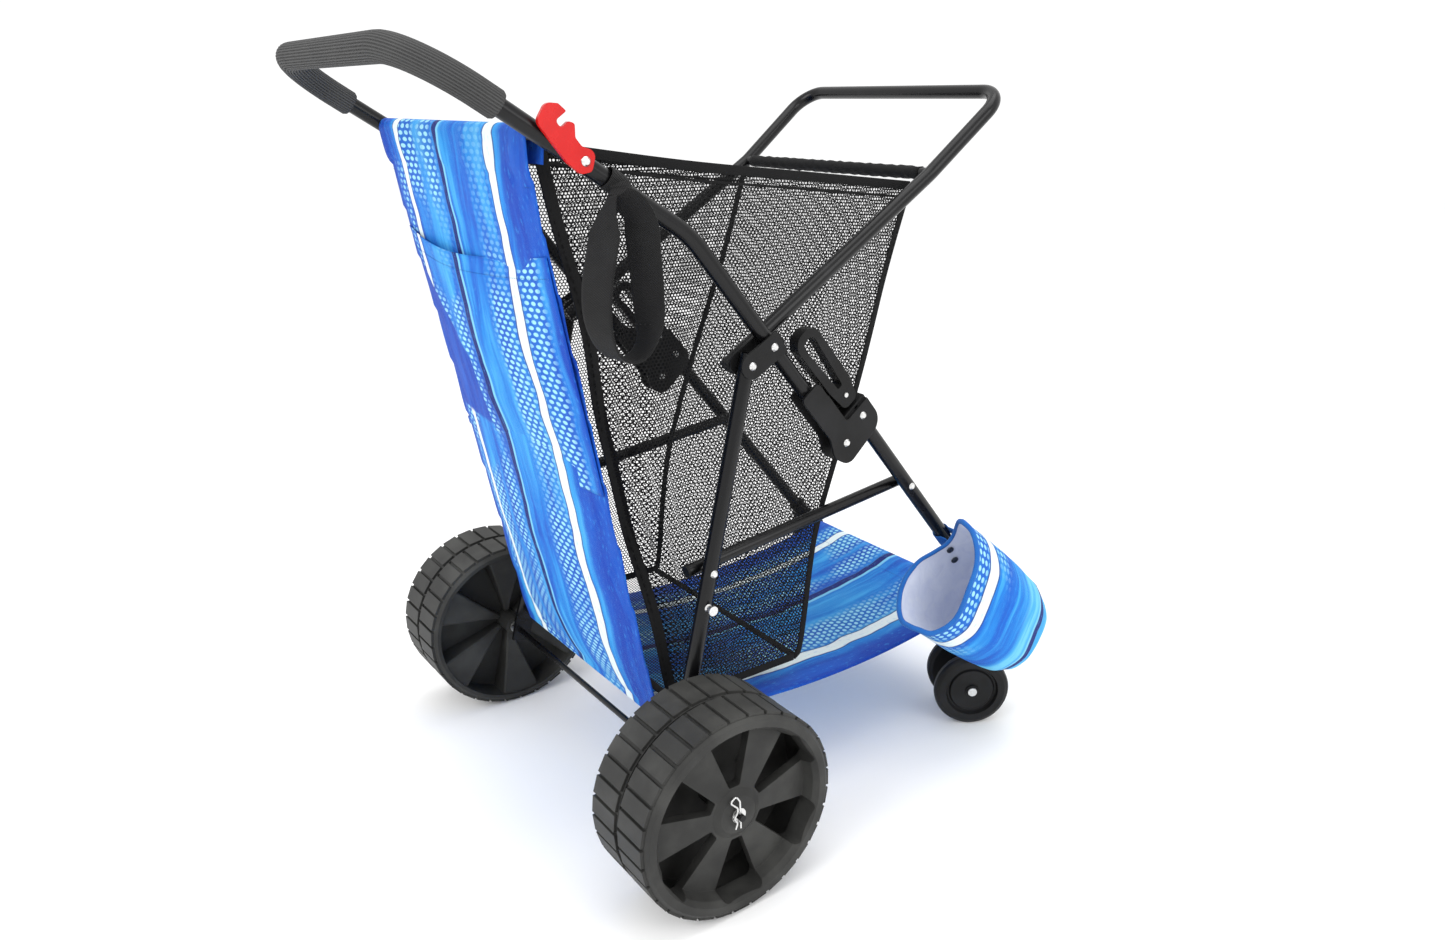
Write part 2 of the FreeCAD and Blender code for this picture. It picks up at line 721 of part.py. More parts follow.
def make_hook():
    body = new_body("storage_hook")
    outline = new_sketch(body, "HookOutline", "YZ_Plane")
    rounded_outline(
        outline,
        [
            (6, -10, 6),
            (-6, -12, 7),
            (-19, -1, 8),
            (-34, 19, 8),
            (-47, 37, 8),
            (-36, 54, 9),
            (-24, 53, 2),
            (-16, 46, 1.5),
            (-28, 37.6, 3.4),
            (-23, 30.8, 3.4),
            (-15, 37, 3),
            (-8.6, 35, 3),
            (-9, 22, 4),
            (-3, 14, 5),
            (12, 9, 8),
        ],
    )
    pad(body, outline, "HookPad", "Sheet.hook_gauge")
    hole = new_sketch(body, "HookHole", "YZ_Plane")
    add_circle(hole, (0, 0), "Sheet.rivet_r + Sheet.rivet_gap", size("rivet_r") + size("rivet_gap"))
    pocket_through(body, hole, "HookDrill")
    place_plate(body, hook_inner_x(), hook_pivot(), 0.0)


# Wheels and casters ----------------------------------------------------------------------------------


def revolved(body, name, points, cavity=()):
    """A turned solid: points are (along the axle, radius), spun about X, with one ring cavity left empty."""
    profile = new_sketch(body, name + "Profile", "XY_Plane")
    add_outline(profile, points)
    if cavity:
        add_outline(profile, cavity)
    feature = body.newObject("PartDesign::Revolution", name)
    feature.Profile = profile
    feature.ReferenceAxis = (profile, ["H_Axis"])
    feature.Angle = 360.0
    return feature


def spun(body, feature, name, formula):
    """A polar pattern of one feature about X."""
    pattern = body.newObject("PartDesign::PolarPattern", name)
    pattern.Originals = [feature]
    pattern.Axis = (plane_of(body, "X_Axis"), [""])
    pattern.Angle = 360.0
    pattern.setExpression("Occurrences", formula)
    body.Tip = pattern
    return pattern


def turned_points(points, angle):
    spin = Rotation(Vector(0, 0, 1), angle)
    turned = [spin.multVec(Vector(a, b, 0)) for a, b in points]
    return [(place.x, place.y) for place in turned]


def make_rear_wheel():
    """A moulded wheel: barrel, inner disc, dished web with windows, hub, and two staggered rows of lugs."""
    body = new_body("rear_wheel_right")
    width = size("wheel_width")
    tread = size("wheel_r") - size("lug_height")
    inside = tread - size("rim_wall")
    hub = size("hub_r")
    bore = size("axle_r") + size("rivet_gap")
    middle = width / 2
    groove = 2.5
    disc_start = 44.0
    disc_end = 48.0
    boss_r = 14.0
    web_back = [(84, boss_r), (93, hub + 4), (86, inside - 12), (88, inside)]
    revolved(
        body,
        "WheelTurned",
        [
            (-1.9, bore),
            (-1.9, boss_r),
            (disc_start, boss_r),
            (disc_start, inside),
            (0, inside),
            (0, tread - 4),
            (4, tread),
            (middle - groove, tread),
            (middle - groove, tread - groove),
            (middle + groove, tread - groove),
            (middle + groove, tread),
            (width - 4, tread),
            (width, tread - 4),
            (width, inside - 4),
            (width - 7, inside - 9),
            (98, inside - 13),
            (105, hub + 8),
            (110, hub),
            (110, bore),
        ],
        [(disc_end, boss_r)] + web_back + [(disc_end, inside)],
    )
    window = new_sketch(body, "WheelWindow", "YZ_Plane", disc_end + 2.0)
    window_foot = hub + 11
    window_top = inside - 7
    rounded_outline(
        window,
        [(-7, window_foot, 3), (7, window_foot, 3), (31, window_top, 8), (-31, window_top, 8)],
    )
    windows = pocket_up(body, window, "WheelWindowCut", "Sheet.wheel_width")
    spun(body, windows, "WheelWindows", "Sheet.spoke_count")
    hole = new_sketch(body, "WheelHole", "YZ_Plane", disc_start - 2.0)
    add_circle(hole, (0, hub + 27.0), "Sheet.axle_r + 1.5", size("axle_r") + 1.5)
    holes = pocket_up(body, hole, "WheelHoleCut", "8")
    spun(body, holes, "WheelHoles", "Sheet.spoke_count")
    half = size("lug_width") / 2
    flat = math.sqrt(size("wheel_r") ** 2 - half**2)
    outline = [(-half, tread - 1), (half, tread - 1), (half, flat), (-half, flat)]
    corner_down = 180 + math.degrees(math.asin(half / size("wheel_r")))
    pitch = 360 / size("lug_count")
    for row, (start, turn) in enumerate(((5.0, 0.0), (middle + 4.0, pitch / 2))):
        lug = new_sketch(body, f"WheelLug{row}", "YZ_Plane", start)
        add_outline(lug, turned_points(outline, turn + corner_down))
        lugs = pad(body, lug, f"WheelLugPad{row}", "Sheet.wheel_width / 2 - 9")
        spun(body, lugs, f"WheelLugs{row}", "Sheet.lug_count")
    middle_place = Vector(size("wheel_inner_x"), -size("origin_y"), size("wheel_r"))
    body.Placement = Placement(middle_place, Rotation())
    mirrored(body, "rear_wheel_left")


def caster_place(side, turn=0.0):
    """A caster's own frame: its swivel axis on the ground, turned with the caster."""
    place = Vector(side * size("caster_x"), size("caster_y") - size("origin_y"), 0)
    return Placement(place, Rotation(Vector(0, 0, 1), size("caster_yaw") + turn))


def fixed_at(label, shape, placement):
    feature = doc.addObject("Part::Feature", label)
    feature.Shape = shape
    feature.Placement = placement
    return keep(feature, label)


def caster_fork_shape():
    """Stem, crown and the arm that trails back to the axle between the wheels."""
    trail = size("caster_trail")
    radius = size("caster_wheel_r")
    up = Vector(0, 0, 1)
    stem = Part.makeCylinder(size("caster_stem_r"), 56, Vector(0, 0, 116), up)
    crown = Part.makeCylinder(17, 14, Vector(0, 0, 104), up)
    half = 15.0
    side = [
        Vector(-half, 15, 104),
        Vector(-half, 15, 96),
        Vector(-half, -trail + 12, radius - 4),
        Vector(-half, -trail - 12, radius - 4),
        Vector(-half, -trail - 4, 104),
        Vector(-half, 15, 104),
    ]
    arm = Part.Face(Part.makePolygon(side)).extrude(Vector(2 * half, 0, 0))
    boss = Part.makeCylinder(12.5, 2 * half, Vector(-half, -trail, radius), Vector(1, 0, 0))
    reach = size("caster_gap") / 2 - 0.3
    spacer = Part.makeCylinder(9, 2 * reach, Vector(-reach, -trail, radius), Vector(1, 0, 0))
    bore = Part.makeCylinder(size("axle_r"), 200, Vector(-100, -trail, radius), Vector(1, 0, 0))
    fork = stem.fuse(crown).fuse(arm).fuse(boss).fuse(spacer).cut(bore)
    return fork.removeSplitter()


def caster_axle_shape():
    trail = size("caster_trail")
    radius = size("caster_wheel_r")
    reach = size("caster_gap") / 2 + size("caster_wheel_width") + 0.5
    shank = Part.makeCylinder(size("axle_r"), 2 * reach, Vector(-reach, -trail, radius), Vector(1, 0, 0))
    for sign in (1, -1):
        head = Part.makeCylinder(6.5, 2.5, Vector(sign * reach, -trail, radius), Vector(sign, 0, 0))
        shank = shank.fuse(head)
    return shank.removeSplitter()


def make_caster_wheel(label, side, outward):
    """One of a caster's two wheels: a turned disc with a ring groove and a rounded tread."""
    body = new_body(label)
    radius = size("caster_wheel_r")
    width = size("caster_wheel_width")
    bore = size("axle_r") + size("rivet_gap")
    face = width - 3.0
    revolved(
        body,
        label + "Turned",
        [
            (0, bore),
            (0, radius - 7),
            (3, radius - 2),
            (7, radius),
            (width - 7, radius),
            (width - 3, radius - 2),
            (width, radius - 7),
            (width, radius - 17),
            (face - 3, radius - 19),
            (face - 3, radius - 22),
            (face, radius - 24),
            (face, 10),
            (width, 9),
            (width, bore),
        ],
    )
    gap = size("caster_gap") / 2
    turn = 0.0 if outward == 1 else 180.0
    base = caster_place(side)
    trail = base.Rotation.multVec(Vector(outward * gap, -size("caster_trail"), radius))
    body.Placement = Placement(base.Base + trail, Rotation(Vector(0, 0, 1), size("caster_yaw") + turn))


def make_casters():
    for name, side in (("right", 1), ("left", -1)):
        fixed_at(f"caster_fork_{name}", caster_fork_shape(), caster_place(side))
        fixed_at(f"caster_axle_{name}", caster_axle_shape(), caster_place(side))
        for which, outward in (("a", 1), ("b", -1)):
            make_caster_wheel(f"caster_wheel_{name}_{which}", side, outward)


def make_caster_socket():
    """The moulded corner that joins the front tube, the platform's front bar and the caster's stem."""
    x = size("frame_x")
    top, foot = front_tube_ends(x)
    along = unit_from(top, foot)
    bar = spot("front_bar", x)
    up = Vector(0, 0, 1)
    axis = Vector(size("caster_x"), size("caster_y"), 0)
    sleeve = rod(foot - along * 34.0, foot + along * 6.0, size("tube_r") + 3.5)
    post = Part.makeCylinder(15.0, 72.0, axis + up * 118.4, up)
    knuckle = rod(Vector(x - 18, bar.y, bar.z), Vector(x + 13, bar.y, bar.z), 13.0)
    web = Part.makeBox(26.0, bar.y - axis.y, 22.0, Vector(x - 13, axis.y, bar.z - 11))
    socket = sleeve.fuse(post).fuse(knuckle).fuse(web)
    socket = socket.cut(rod(top, foot, size("tube_r")))
    socket = socket.cut(rod(spot("front_bar"), spot("front_bar", x - 14), size("bar_r")))
    stem_bore_r = size("caster_stem_r") + size("rivet_gap")
    socket = socket.cut(Part.makeCylinder(stem_bore_r, 57.0, axis + up * 116, up))
    right = shaped("caster_socket_right", socket.removeSplitter())
    mirrored(right, "caster_socket_left")


# Cloth -------------------------------------------------------------------------------------------------


def slab(points, half_width):
    """A closed side outline of (y, z) points, given width along X about the middle."""
    start = [Vector(-half_width, y, z) for y, z in points]
    return Part.Face(Part.makePolygon(start + start[:1])).extrude(Vector(2 * half_width, 0, 0))


def strip_points(start, end, gap, gauge):
    """The outline of a straight strip that stops short of both its ends by gap."""
    along = unit_from(start, end)
    normal = Vector(0, -along.z, along.y) * (gauge / 2)
    first = start + along * gap
    last = end - along * gap
    corners = (first + normal, last + normal, last - normal, first - normal)
    return [(corner.y, corner.z) for corner in corners]


def make_cloth_panels():
    gap = size("bar_r") + 0.6
    half = size("panel_half_width")
    gauge = size("panel_gauge")
    top = spot("bag_bar")
    corner = spot("rear_bar")
    front = spot("front_bar")
    shaped("back_panel", slab(strip_points(top, corner, gap, gauge), half))
    shaped("platform_sling", slab(strip_points(corner, front, gap, gauge), half - 2))


def make_mesh_bag():
    """The bag's near, far, front and bottom walls. The back panel closes its fifth side."""
    gauge = size("bag_gauge")
    half = size("bag_half_width")
    front = [(404, 786), (340, 611), (272, 436), (243, 345), (219, 200), (208, 183)]
    back = [(22, 183), (16, 194), (-93, 846)]
    outer = slab(front + back, half)
    front_inside = [(y - gauge, z) for y, z in front[:4]] + [(216, 203), (206, 183 + gauge)]
    open_back = [(-20, 183 + gauge), (-140, 900), (400, 900)]
    inner = slab(front_inside + open_back, half - gauge)
    shaped("mesh_bag", outer.cut(inner))


def make_strap():
    """Webbing looped round the handle tube, with its ends joined in a hanging loop beside it."""
    gauge = size("strap_gauge")
    width = size("strap_width")
    bend, top = handle_points()[1:3]
    along = unit_from(bend, top)
    start = bend + along * 86.0
    ring = rod(start, start + along * width * 0.8, size("tube_r") + 0.3 + gauge)
    ring = ring.cut(rod(start, start + along * width * 0.8, size("tube_r") + 0.3))
    x = hook_inner_x() + 5.0
    outline = [
        Vector(x, -19, 790),
        Vector(x, -4, 700),
        Vector(x, -14, 654),
        Vector(x, -50, 640),
        Vector(x, -82, 662),
        Vector(x, -72, 715),
        Vector(x, -45, 792),
    ]
    loop = closed_round_wire(outline, 11.0)
    face = Part.Face(loop)
    inside = face.makeOffset2D(-gauge)
    band = face.cut(inside).extrude(Vector(0.75 * width, 0, 0))
    bridge = Part.makeBox(9.0, 26.0, gauge * 1.6, Vector(x - 8.0, -45.0, 787.0))
    shaped("carry_strap", band.fuse(bridge).fuse(ring))


def closed_round_wire(points, radius):
    """A closed planar outline with an arc of one radius at each corner."""
    edges = []
    count = len(points)
    firsts = []
    lasts = []
    middles = []
    for index, corner in enumerate(points):
        into = (points[index - 1] - corner).normalize()
        out = (points[(index + 1) % count] - corner).normalize()
        half = into.getAngle(out) / 2
        reach = radius / math.tan(half)
        firsts.append(corner + into * reach)
        lasts.append(corner + out * reach)
        middles.append(corner + (into + out).normalize() * (radius / math.sin(half) - radius))
    for index in range(count):
        edges.append(Part.Arc(firsts[index], middles[index], lasts[index]).toShape())
        edges.append(Part.LineSegment(lasts[index], firsts[(index + 1) % count]).toShape())
    return Part.Wire(edges)


def ellipse_wire(centre, axis, half_x, half_across):
    """An ellipse square to axis, whose one half axis lies along X."""
    across = axis.cross(Vector(1, 0, 0)).normalize()
    steps = 24
    ring = []
    for step in range(steps):
        angle = 2 * math.pi * step / steps
        sideways = Vector(half_x * math.cos(angle), 0, 0)
        ring.append(centre + sideways + across * (half_across * math.sin(angle)))
    curve = Part.BSplineCurve()
    curve.interpolate(ring, PeriodicFlag=True)
    return Part.Wire(curve.toShape())


def make_pouch():
    """A padded bottle pouch on the right-hand front tube, its mouth to the rear and up."""
    mouth = Vector(296, 357, 303)
    axis = Vector(0, 0.81, -0.586).normalize()
    stations = ((0, 55, 80), (110, 55, 78), (190, 49, 68), (226, 36, 52), (244, 18, 28))
    wall = size("pouch_wall")
    outer = Part.makeLoft([ellipse_wire(mouth + axis * at, axis, a, b) for at, a, b in stations], True)
    hollow = []
    for at, a, b in stations[:4]:
        shift = at - 2 if at == 0 else at - wall
        hollow.append(ellipse_wire(mouth + axis * shift, axis, a - wall, b - wall))
    pouch = outer.cut(Part.makeLoft(hollow, True))
    x = size("frame_x")
    top, foot = front_tube_ends(x)
    along = unit_from(top, foot)
    inner = size("tube_r") + 0.3
    for distance in (215.0, 300.0):
        start = top + along * distance
        end = start + along * 22.0
        tab = rod(start, end, 4.0).translated(Vector(16.5, 0, 0))
        loop = rod(start, end, inner + 2.0).fuse(tab)
        pouch = pouch.fuse(loop.cut(rod(start, end, inner)))
    shaped("bottle_pouch", pouch)


# Building, checks and export ------------------------------------------------------------------------

make_handle_tube()
make_foam_grip()
make_hoop()
make_rear_leg()
make_front_tube()
make_brace()
make_platform_bars()
make_rivets()
make_axle()
make_hitch_pins()
make_brackets()
make_housing()
make_lever()
make_hook()
make_rear_wheel()
make_casters()
make_caster_socket()
make_cloth_panels()
make_mesh_bag()
make_strap()
make_pouch()
doc.recompute()

for item in doc.Objects:
    if "Invalid" in item.State or "Error" in item.State:
        raise RuntimeError(f"{item.Label} failed: {item.State}")

os.makedirs("parts", exist_ok=True)
whole = FreeCAD.BoundBox()
for node in nodes:
    shape = node.Shape
    if shape.isNull() or not shape.isValid():
        raise RuntimeError(f"{node.Label} has no valid shape")
    if shape.Volume <= 0:
        raise RuntimeError(f"{node.Label} has no volume")
    whole.add(shape.BoundBox)
    shape.exportStep(f"parts/{node.Label}.step")
print(len(nodes), "sub-parts, box", whole)
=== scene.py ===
"""A folding beach cart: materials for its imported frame, and its cloth, mesh, foam and webbing."""

import json
import math

import bpy
import numpy as np
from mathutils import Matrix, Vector, noise


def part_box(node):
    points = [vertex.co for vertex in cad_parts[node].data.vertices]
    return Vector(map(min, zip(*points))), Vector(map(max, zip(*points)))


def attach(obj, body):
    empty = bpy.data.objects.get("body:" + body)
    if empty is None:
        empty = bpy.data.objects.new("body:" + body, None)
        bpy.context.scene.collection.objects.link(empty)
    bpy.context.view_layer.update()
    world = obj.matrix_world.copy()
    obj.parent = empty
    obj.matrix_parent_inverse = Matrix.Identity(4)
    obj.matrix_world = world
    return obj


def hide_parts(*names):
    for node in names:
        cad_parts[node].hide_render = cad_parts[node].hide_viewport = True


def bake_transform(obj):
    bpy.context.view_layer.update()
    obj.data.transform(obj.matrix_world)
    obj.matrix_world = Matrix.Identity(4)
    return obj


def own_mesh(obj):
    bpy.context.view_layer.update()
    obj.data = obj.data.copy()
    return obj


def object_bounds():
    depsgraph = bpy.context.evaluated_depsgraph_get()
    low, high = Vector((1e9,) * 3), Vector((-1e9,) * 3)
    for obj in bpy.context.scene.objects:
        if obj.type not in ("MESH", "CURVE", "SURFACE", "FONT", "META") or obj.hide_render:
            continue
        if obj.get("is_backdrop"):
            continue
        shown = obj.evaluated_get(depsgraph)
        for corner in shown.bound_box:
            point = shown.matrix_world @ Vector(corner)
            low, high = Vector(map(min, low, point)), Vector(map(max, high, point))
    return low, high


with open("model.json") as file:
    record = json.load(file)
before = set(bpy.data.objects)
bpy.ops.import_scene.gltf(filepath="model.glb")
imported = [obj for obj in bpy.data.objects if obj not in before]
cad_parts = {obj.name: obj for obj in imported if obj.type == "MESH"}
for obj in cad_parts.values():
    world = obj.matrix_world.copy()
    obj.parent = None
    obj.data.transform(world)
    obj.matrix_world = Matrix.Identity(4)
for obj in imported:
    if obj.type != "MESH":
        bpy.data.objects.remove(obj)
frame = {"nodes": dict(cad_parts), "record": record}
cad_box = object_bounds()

MM = 0.001


# Places, read from the frame ---------------------------------------------------------------------


def centre(node):
    low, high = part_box(node)
    return (low + high) / 2


AXLE = centre("axle")
GROUND_Y = AXLE.y


def at(x, y, z):
    """A point in millimetres from the ground under the middle of the rear axle."""
    return Vector((x * MM, y * MM + GROUND_Y, z * MM))


def middle_of(node):
    """The node's centre, moved to the cart's middle plane."""
    place = centre(node)
    return Vector((0.0, place.y, place.z))


BAG_BAR = middle_of("bag_rear_bar")
RIM_BAR = middle_of("bag_front_bar")
REAR_BAR = middle_of("platform_rear_bar")
FRONT_BAR = middle_of("platform_front_bar")
BAR_R = (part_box("bag_rear_bar")[1].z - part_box("bag_rear_bar")[0].z) / 2
PANEL_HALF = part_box("back_panel")[1].x
SLING_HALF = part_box("platform_sling")[1].x
BAG_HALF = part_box("mesh_bag")[1].x
RIGHT_X = centre("front_tube_right").x


# Camera, floor and light -------------------------------------------------------------------------

camera_data = bpy.data.cameras.new("Camera")
camera_data.sensor_width = 36.0
camera_data.lens = 27.23
camera_data.shift_x = -0.0857
camera_data.shift_y = 0.0095
camera = bpy.data.objects.new("Camera", camera_data)
camera.location = at(1240.7, -565.5, 889.1)
camera.rotation_euler = (math.radians(90 - 19.38), 0, math.radians(50.63))
bpy.context.collection.objects.link(camera)
bpy.context.scene.camera = camera
bpy.context.scene.view_settings.view_transform = "Standard"


def node_material(name):
    material = bpy.data.materials.new(name)
    material.use_nodes = True
    tree = material.node_tree
    return material, tree, tree.nodes["Principled BSDF"]


def add_floor():
    data = bpy.data.meshes.new("floor")
    half = 12.0
    corners = [(-half, -half, 0), (half, -half, 0), (half, half, 0), (-half, half, 0)]
    data.from_pydata(corners, [], [(0, 1, 2, 3)])
    floor = bpy.data.objects.new("floor", data)
    bpy.context.collection.objects.link(floor)
    material, _, shader = node_material("floor_paper")
    shader.inputs["Base Color"].default_value = (0.95, 0.95, 0.95, 1)
    shader.inputs["Roughness"].default_value = 0.9
    shader.inputs["Specular IOR Level"].default_value = 0.1
    data.materials.append(material)
    floor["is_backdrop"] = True


def add_light(name, place, target, size, power):
    data = bpy.data.lights.new(name, "AREA")
    data.shape = "RECTANGLE"
    data.size, data.size_y = size
    data.energy = power
    light = bpy.data.objects.new(name, data)
    light.location = place
    light.rotation_euler = (target - place).to_track_quat("-Z", "Y").to_euler()
    bpy.context.collection.objects.link(light)


def add_lights():
    aim = Vector((0, 0, 0.45))
    add_light("key", Vector((0.4, -2.8, 2.4)), aim, (2.4, 1.6), 48)
    add_light("fill", Vector((3.0, 0.6, 1.8)), aim, (1.8, 1.8), 26)
    add_light("top", Vector((0.2, 0.4, 3.4)), aim, (2.2, 2.2), 30)
    world = bpy.data.worlds.new("studio")
    world.use_nodes = True
    background = world.node_tree.nodes["Background"]
    background.inputs["Color"].default_value = (1.0, 1.0, 1.0, 1)
    background.inputs["Strength"].default_value = 1.08
    bpy.context.scene.world = world


# Node graphs -------------------------------------------------------------------------------------


class Graph:
    """Short names for the shader nodes that the materials below are made of."""

    def __init__(self, name):
        self.material, self.tree, self.shader = node_material(name)

    def node(self, kind, **settings):
        made = self.tree.nodes.new(kind)
        for key, value in settings.items():
            setattr(made, key, value)
        return made

    def put(self, socket, value):
        if isinstance(value, bpy.types.NodeSocket):
            self.tree.links.new(value, socket)
        else:
            socket.default_value = value

    def math(self, operation, *values, clamp=False):
        made = self.node("ShaderNodeMath", operation=operation, use_clamp=clamp)
        for socket, value in zip(made.inputs, values):
            self.put(socket, value)
        return made.outputs[0]

    def plus(self, *values):
        return self.math("ADD", *values)

    def times(self, *values):
        return self.math("MULTIPLY", *values)

    def attribute(self, name):
        return self.node("ShaderNodeAttribute", attribute_name=name).outputs["Fac"]

    def place(self):
        return self.node("ShaderNodeTexCoord").outputs["Object"]

    def vector(self, x, y, z):
        made = self.node("ShaderNodeCombineXYZ")
        for socket, value in zip(made.inputs, (x, y, z)):
            self.put(socket, value)
        return made.outputs[0]

    def noise(self, vector, scale, detail=2.0, distortion=0.0):
        made = self.node("ShaderNodeTexNoise")
        self.put(made.inputs["Vector"], vector)
        made.inputs["Scale"].default_value = scale
        made.inputs["Detail"].default_value = detail
        made.inputs["Distortion"].default_value = distortion
        return made.outputs["Fac"]

    def step(self, value, low, high):
        """0 below low, 1 above high, smooth between. low may be the larger."""
        made = self.node("ShaderNodeMapRange", interpolation_type="SMOOTHSTEP")
        self.put(made.inputs["Value"], value)
        if low <= high:
            ends = (low, high, 0.0, 1.0)
        else:
            ends = (high, low, 1.0, 0.0)
        for key, end in zip(("From Min", "From Max", "To Min", "To Max"), ends):
            made.inputs[key].default_value = end
        return made.outputs["Result"]

    def mix(self, factor, first, second):
        made = self.node("ShaderNodeMix", data_type="RGBA")
        self.put(made.inputs["Factor"], factor)
        self.put(made.inputs[6], first)
        self.put(made.inputs[7], second)
        return made.outputs[2]

    def ramp(self, value, stops):
        made = self.node("ShaderNodeValToRGB")
        self.put(made.inputs["Fac"], value)
        elements = made.color_ramp.elements
        while len(elements) < len(stops):
            elements.new(0.5)
        for element, (position, colour) in zip(elements, stops):
            element.position = position
            element.color = (*colour, 1)
        return made.outputs["Color"]

    def span(self, value, low, high):
        """A 0 to 1 value stretched to run from low to high."""
        return self.plus(self.times(value, high - low), low)

    def bump(self, height, distance, strength=1.0, rounding=0.0):
        made = self.node("ShaderNodeBump")
        made.inputs["Strength"].default_value = strength
        made.inputs["Distance"].default_value = distance
        self.put(made.inputs["Height"], height)
        if rounding:
            edge = self.node("ShaderNodeBevel", samples=4)
            edge.inputs["Radius"].default_value = rounding
            self.put(made.inputs["Normal"], edge.outputs["Normal"])
        self.put(self.shader.inputs["Normal"], made.outputs["Normal"])

    def settle(self, **values):
        names = {
            "colour": "Base Color",
            "rough": "Roughness",
            "metal": "Metallic",
            "coat": "Coat Weight",
            "coat_rough": "Coat Roughness",
            "gloss": "Specular IOR Level",
            "sheen": "Sheen Weight",
        }
        for key, value in values.items():
            self.put(self.shader.inputs[names[key]], value)
        return self.material


# Hard materials ----------------------------------------------------------------------------------


def steel_paint():
    """Gloss black powder coat, with faint orange peel and handling marks."""
    graph = Graph("steel_paint")
    place = graph.place()
    peel = graph.noise(place, 420, 2)
    marks = graph.noise(place, 26, 5)
    graph.bump(peel, 0.00012, 0.35)
    dust = graph.step(marks, 0.55, 0.8)
    colour = graph.mix(dust, (0.0025, 0.0025, 0.003, 1), (0.008, 0.008, 0.009, 1))
    rough = graph.span(marks, 0.20, 0.36)
    return graph.settle(colour=colour, rough=rough, gloss=0.25, coat=0.10, coat_rough=0.12)


def moulded(name, dark, light, rough, grain, rounding=0.0008):
    """Satin moulded plastic with a fine spark-eroded grain and softened edges."""
    graph = Graph(name)
    place = graph.place()
    cloud = graph.noise(place, 18, 4)
    colour = graph.mix(graph.step(cloud, 0.35, 0.75), (*dark, 1), (*light, 1))
    graph.bump(graph.noise(place, grain, 3), 0.0002, 0.5, rounding)
    return graph.settle(colour=colour, rough=graph.span(cloud, rough - 0.08, rough + 0.1), gloss=0.2)


def steel_finish(name, dark, light):
    graph = Graph(name)
    place = graph.place()
    brushed = graph.noise(place, 260, 4)
    graph.bump(brushed, 0.0001, 0.3, 0.0004)
    colour = graph.mix(brushed, (*dark, 1), (*light, 1))
    return graph.settle(colour=colour, metal=1.0, rough=graph.span(brushed, 0.18, 0.42))


def red_plastic():
    graph = Graph("red_plastic")
    cloud = graph.noise(graph.place(), 60, 3)
    graph.bump(cloud, 0.0003, 0.25, 0.0012)
    colour = graph.mix(cloud, (0.46, 0.003, 0.003, 1), (0.62, 0.006, 0.005, 1))
    return graph.settle(colour=colour, rough=graph.span(cloud, 0.2, 0.34), gloss=0.3, coat=0.15)


def dress_frame():
    paint = steel_paint()
    black = moulded("moulded_black", (0.006, 0.006, 0.006), (0.013, 0.013, 0.014), 0.42, 1600)
    wheel = moulded("wheel_moulding", (0.026, 0.026, 0.025), (0.052, 0.052, 0.049), 0.52, 900, 0.0012)
    looks = {
        "tube_paint": paint,
        "moulded_black": black,
        "tyre_plastic": wheel,
        "bright_steel": steel_finish("bright_steel", (0.55, 0.55, 0.54), (0.8, 0.8, 0.79)),
        "red_plastic": red_plastic(),
    }
    looks_of = {"axle": paint}
    for node in frame["nodes"]:
        if node.startswith("caster_wheel"):
            looks_of[node] = black
    for row in frame["record"]["subparts"]:
        look = looks_of.get(row["node"], looks.get(row["material_slot"]))
        if look is None:
            continue
        for place in frame["nodes"][row["node"]].material_slots:
            place.material = look


# Mesh building -----------------------------------------------------------------------------------


def clamp(value):
    return min(1.0, max(0.0, value))


def mesh_object(name, points, faces, materials):
    data = bpy.data.meshes.new(name)
    data.from_pydata([tuple(point) for point in points], [], faces)
    data.update()
    data.shade_smooth()
    for material in materials:
        data.materials.append(material)
    made = bpy.data.objects.new(name, data)
    bpy.context.collection.objects.link(made)
    return made


def set_value(piece, name, values):
    attribute = piece.data.attributes.new(name, "FLOAT", "POINT")
    attribute.data.foreach_set("value", np.asarray(values, np.float32))


def grid_faces(rows, columns, wrap=False):
    faces = []
    last = columns if wrap else columns - 1
    for row in range(rows - 1):
        for column in range(last):
            beside = (column + 1) % columns
            low = row * columns
            high = low + columns
            faces.append((low + column, low + beside, high + beside, high + column))
    return faces


def applied(piece):
    """Applies the piece's modifiers to its mesh."""
    graph = bpy.context.evaluated_depsgraph_get()
    graph.update()
    done = bpy.data.meshes.new_from_object(
        piece.evaluated_get(graph), preserve_all_data_layers=True, depsgraph=graph
    )
    piece.modifiers.clear()
    piece.data = done
    return piece


def thicken(piece, gauge, offset=0.0):
    solid = piece.modifiers.new("thick", "SOLIDIFY")
    solid.thickness = gauge
    solid.offset = offset
    return applied(piece)


def settle_cloth(piece, pins, frames, stiffness=18.0):
    """Lets the sheet hang from its pinned points under gravity, then keeps that shape."""
    group = piece.vertex_groups.new(name="pins")
    group.add([int(pin) for pin in pins], 1.0, "REPLACE")
    cloth = piece.modifiers.new("cloth", "CLOTH")
    cloth.settings.quality = 6
    cloth.settings.mass = 0.25
    cloth.settings.tension_stiffness = stiffness
    cloth.settings.compression_stiffness = stiffness
    cloth.settings.shear_stiffness = stiffness / 2
    cloth.settings.bending_stiffness = 0.4
    cloth.settings.vertex_group_mass = "pins"
    cloth.point_cache.frame_end = frames
    scene = bpy.context.scene
    for step in range(1, frames + 1):
        scene.frame_set(step)
    applied(piece)
    scene.frame_set(1)
    piece.vertex_groups.clear()
    return piece


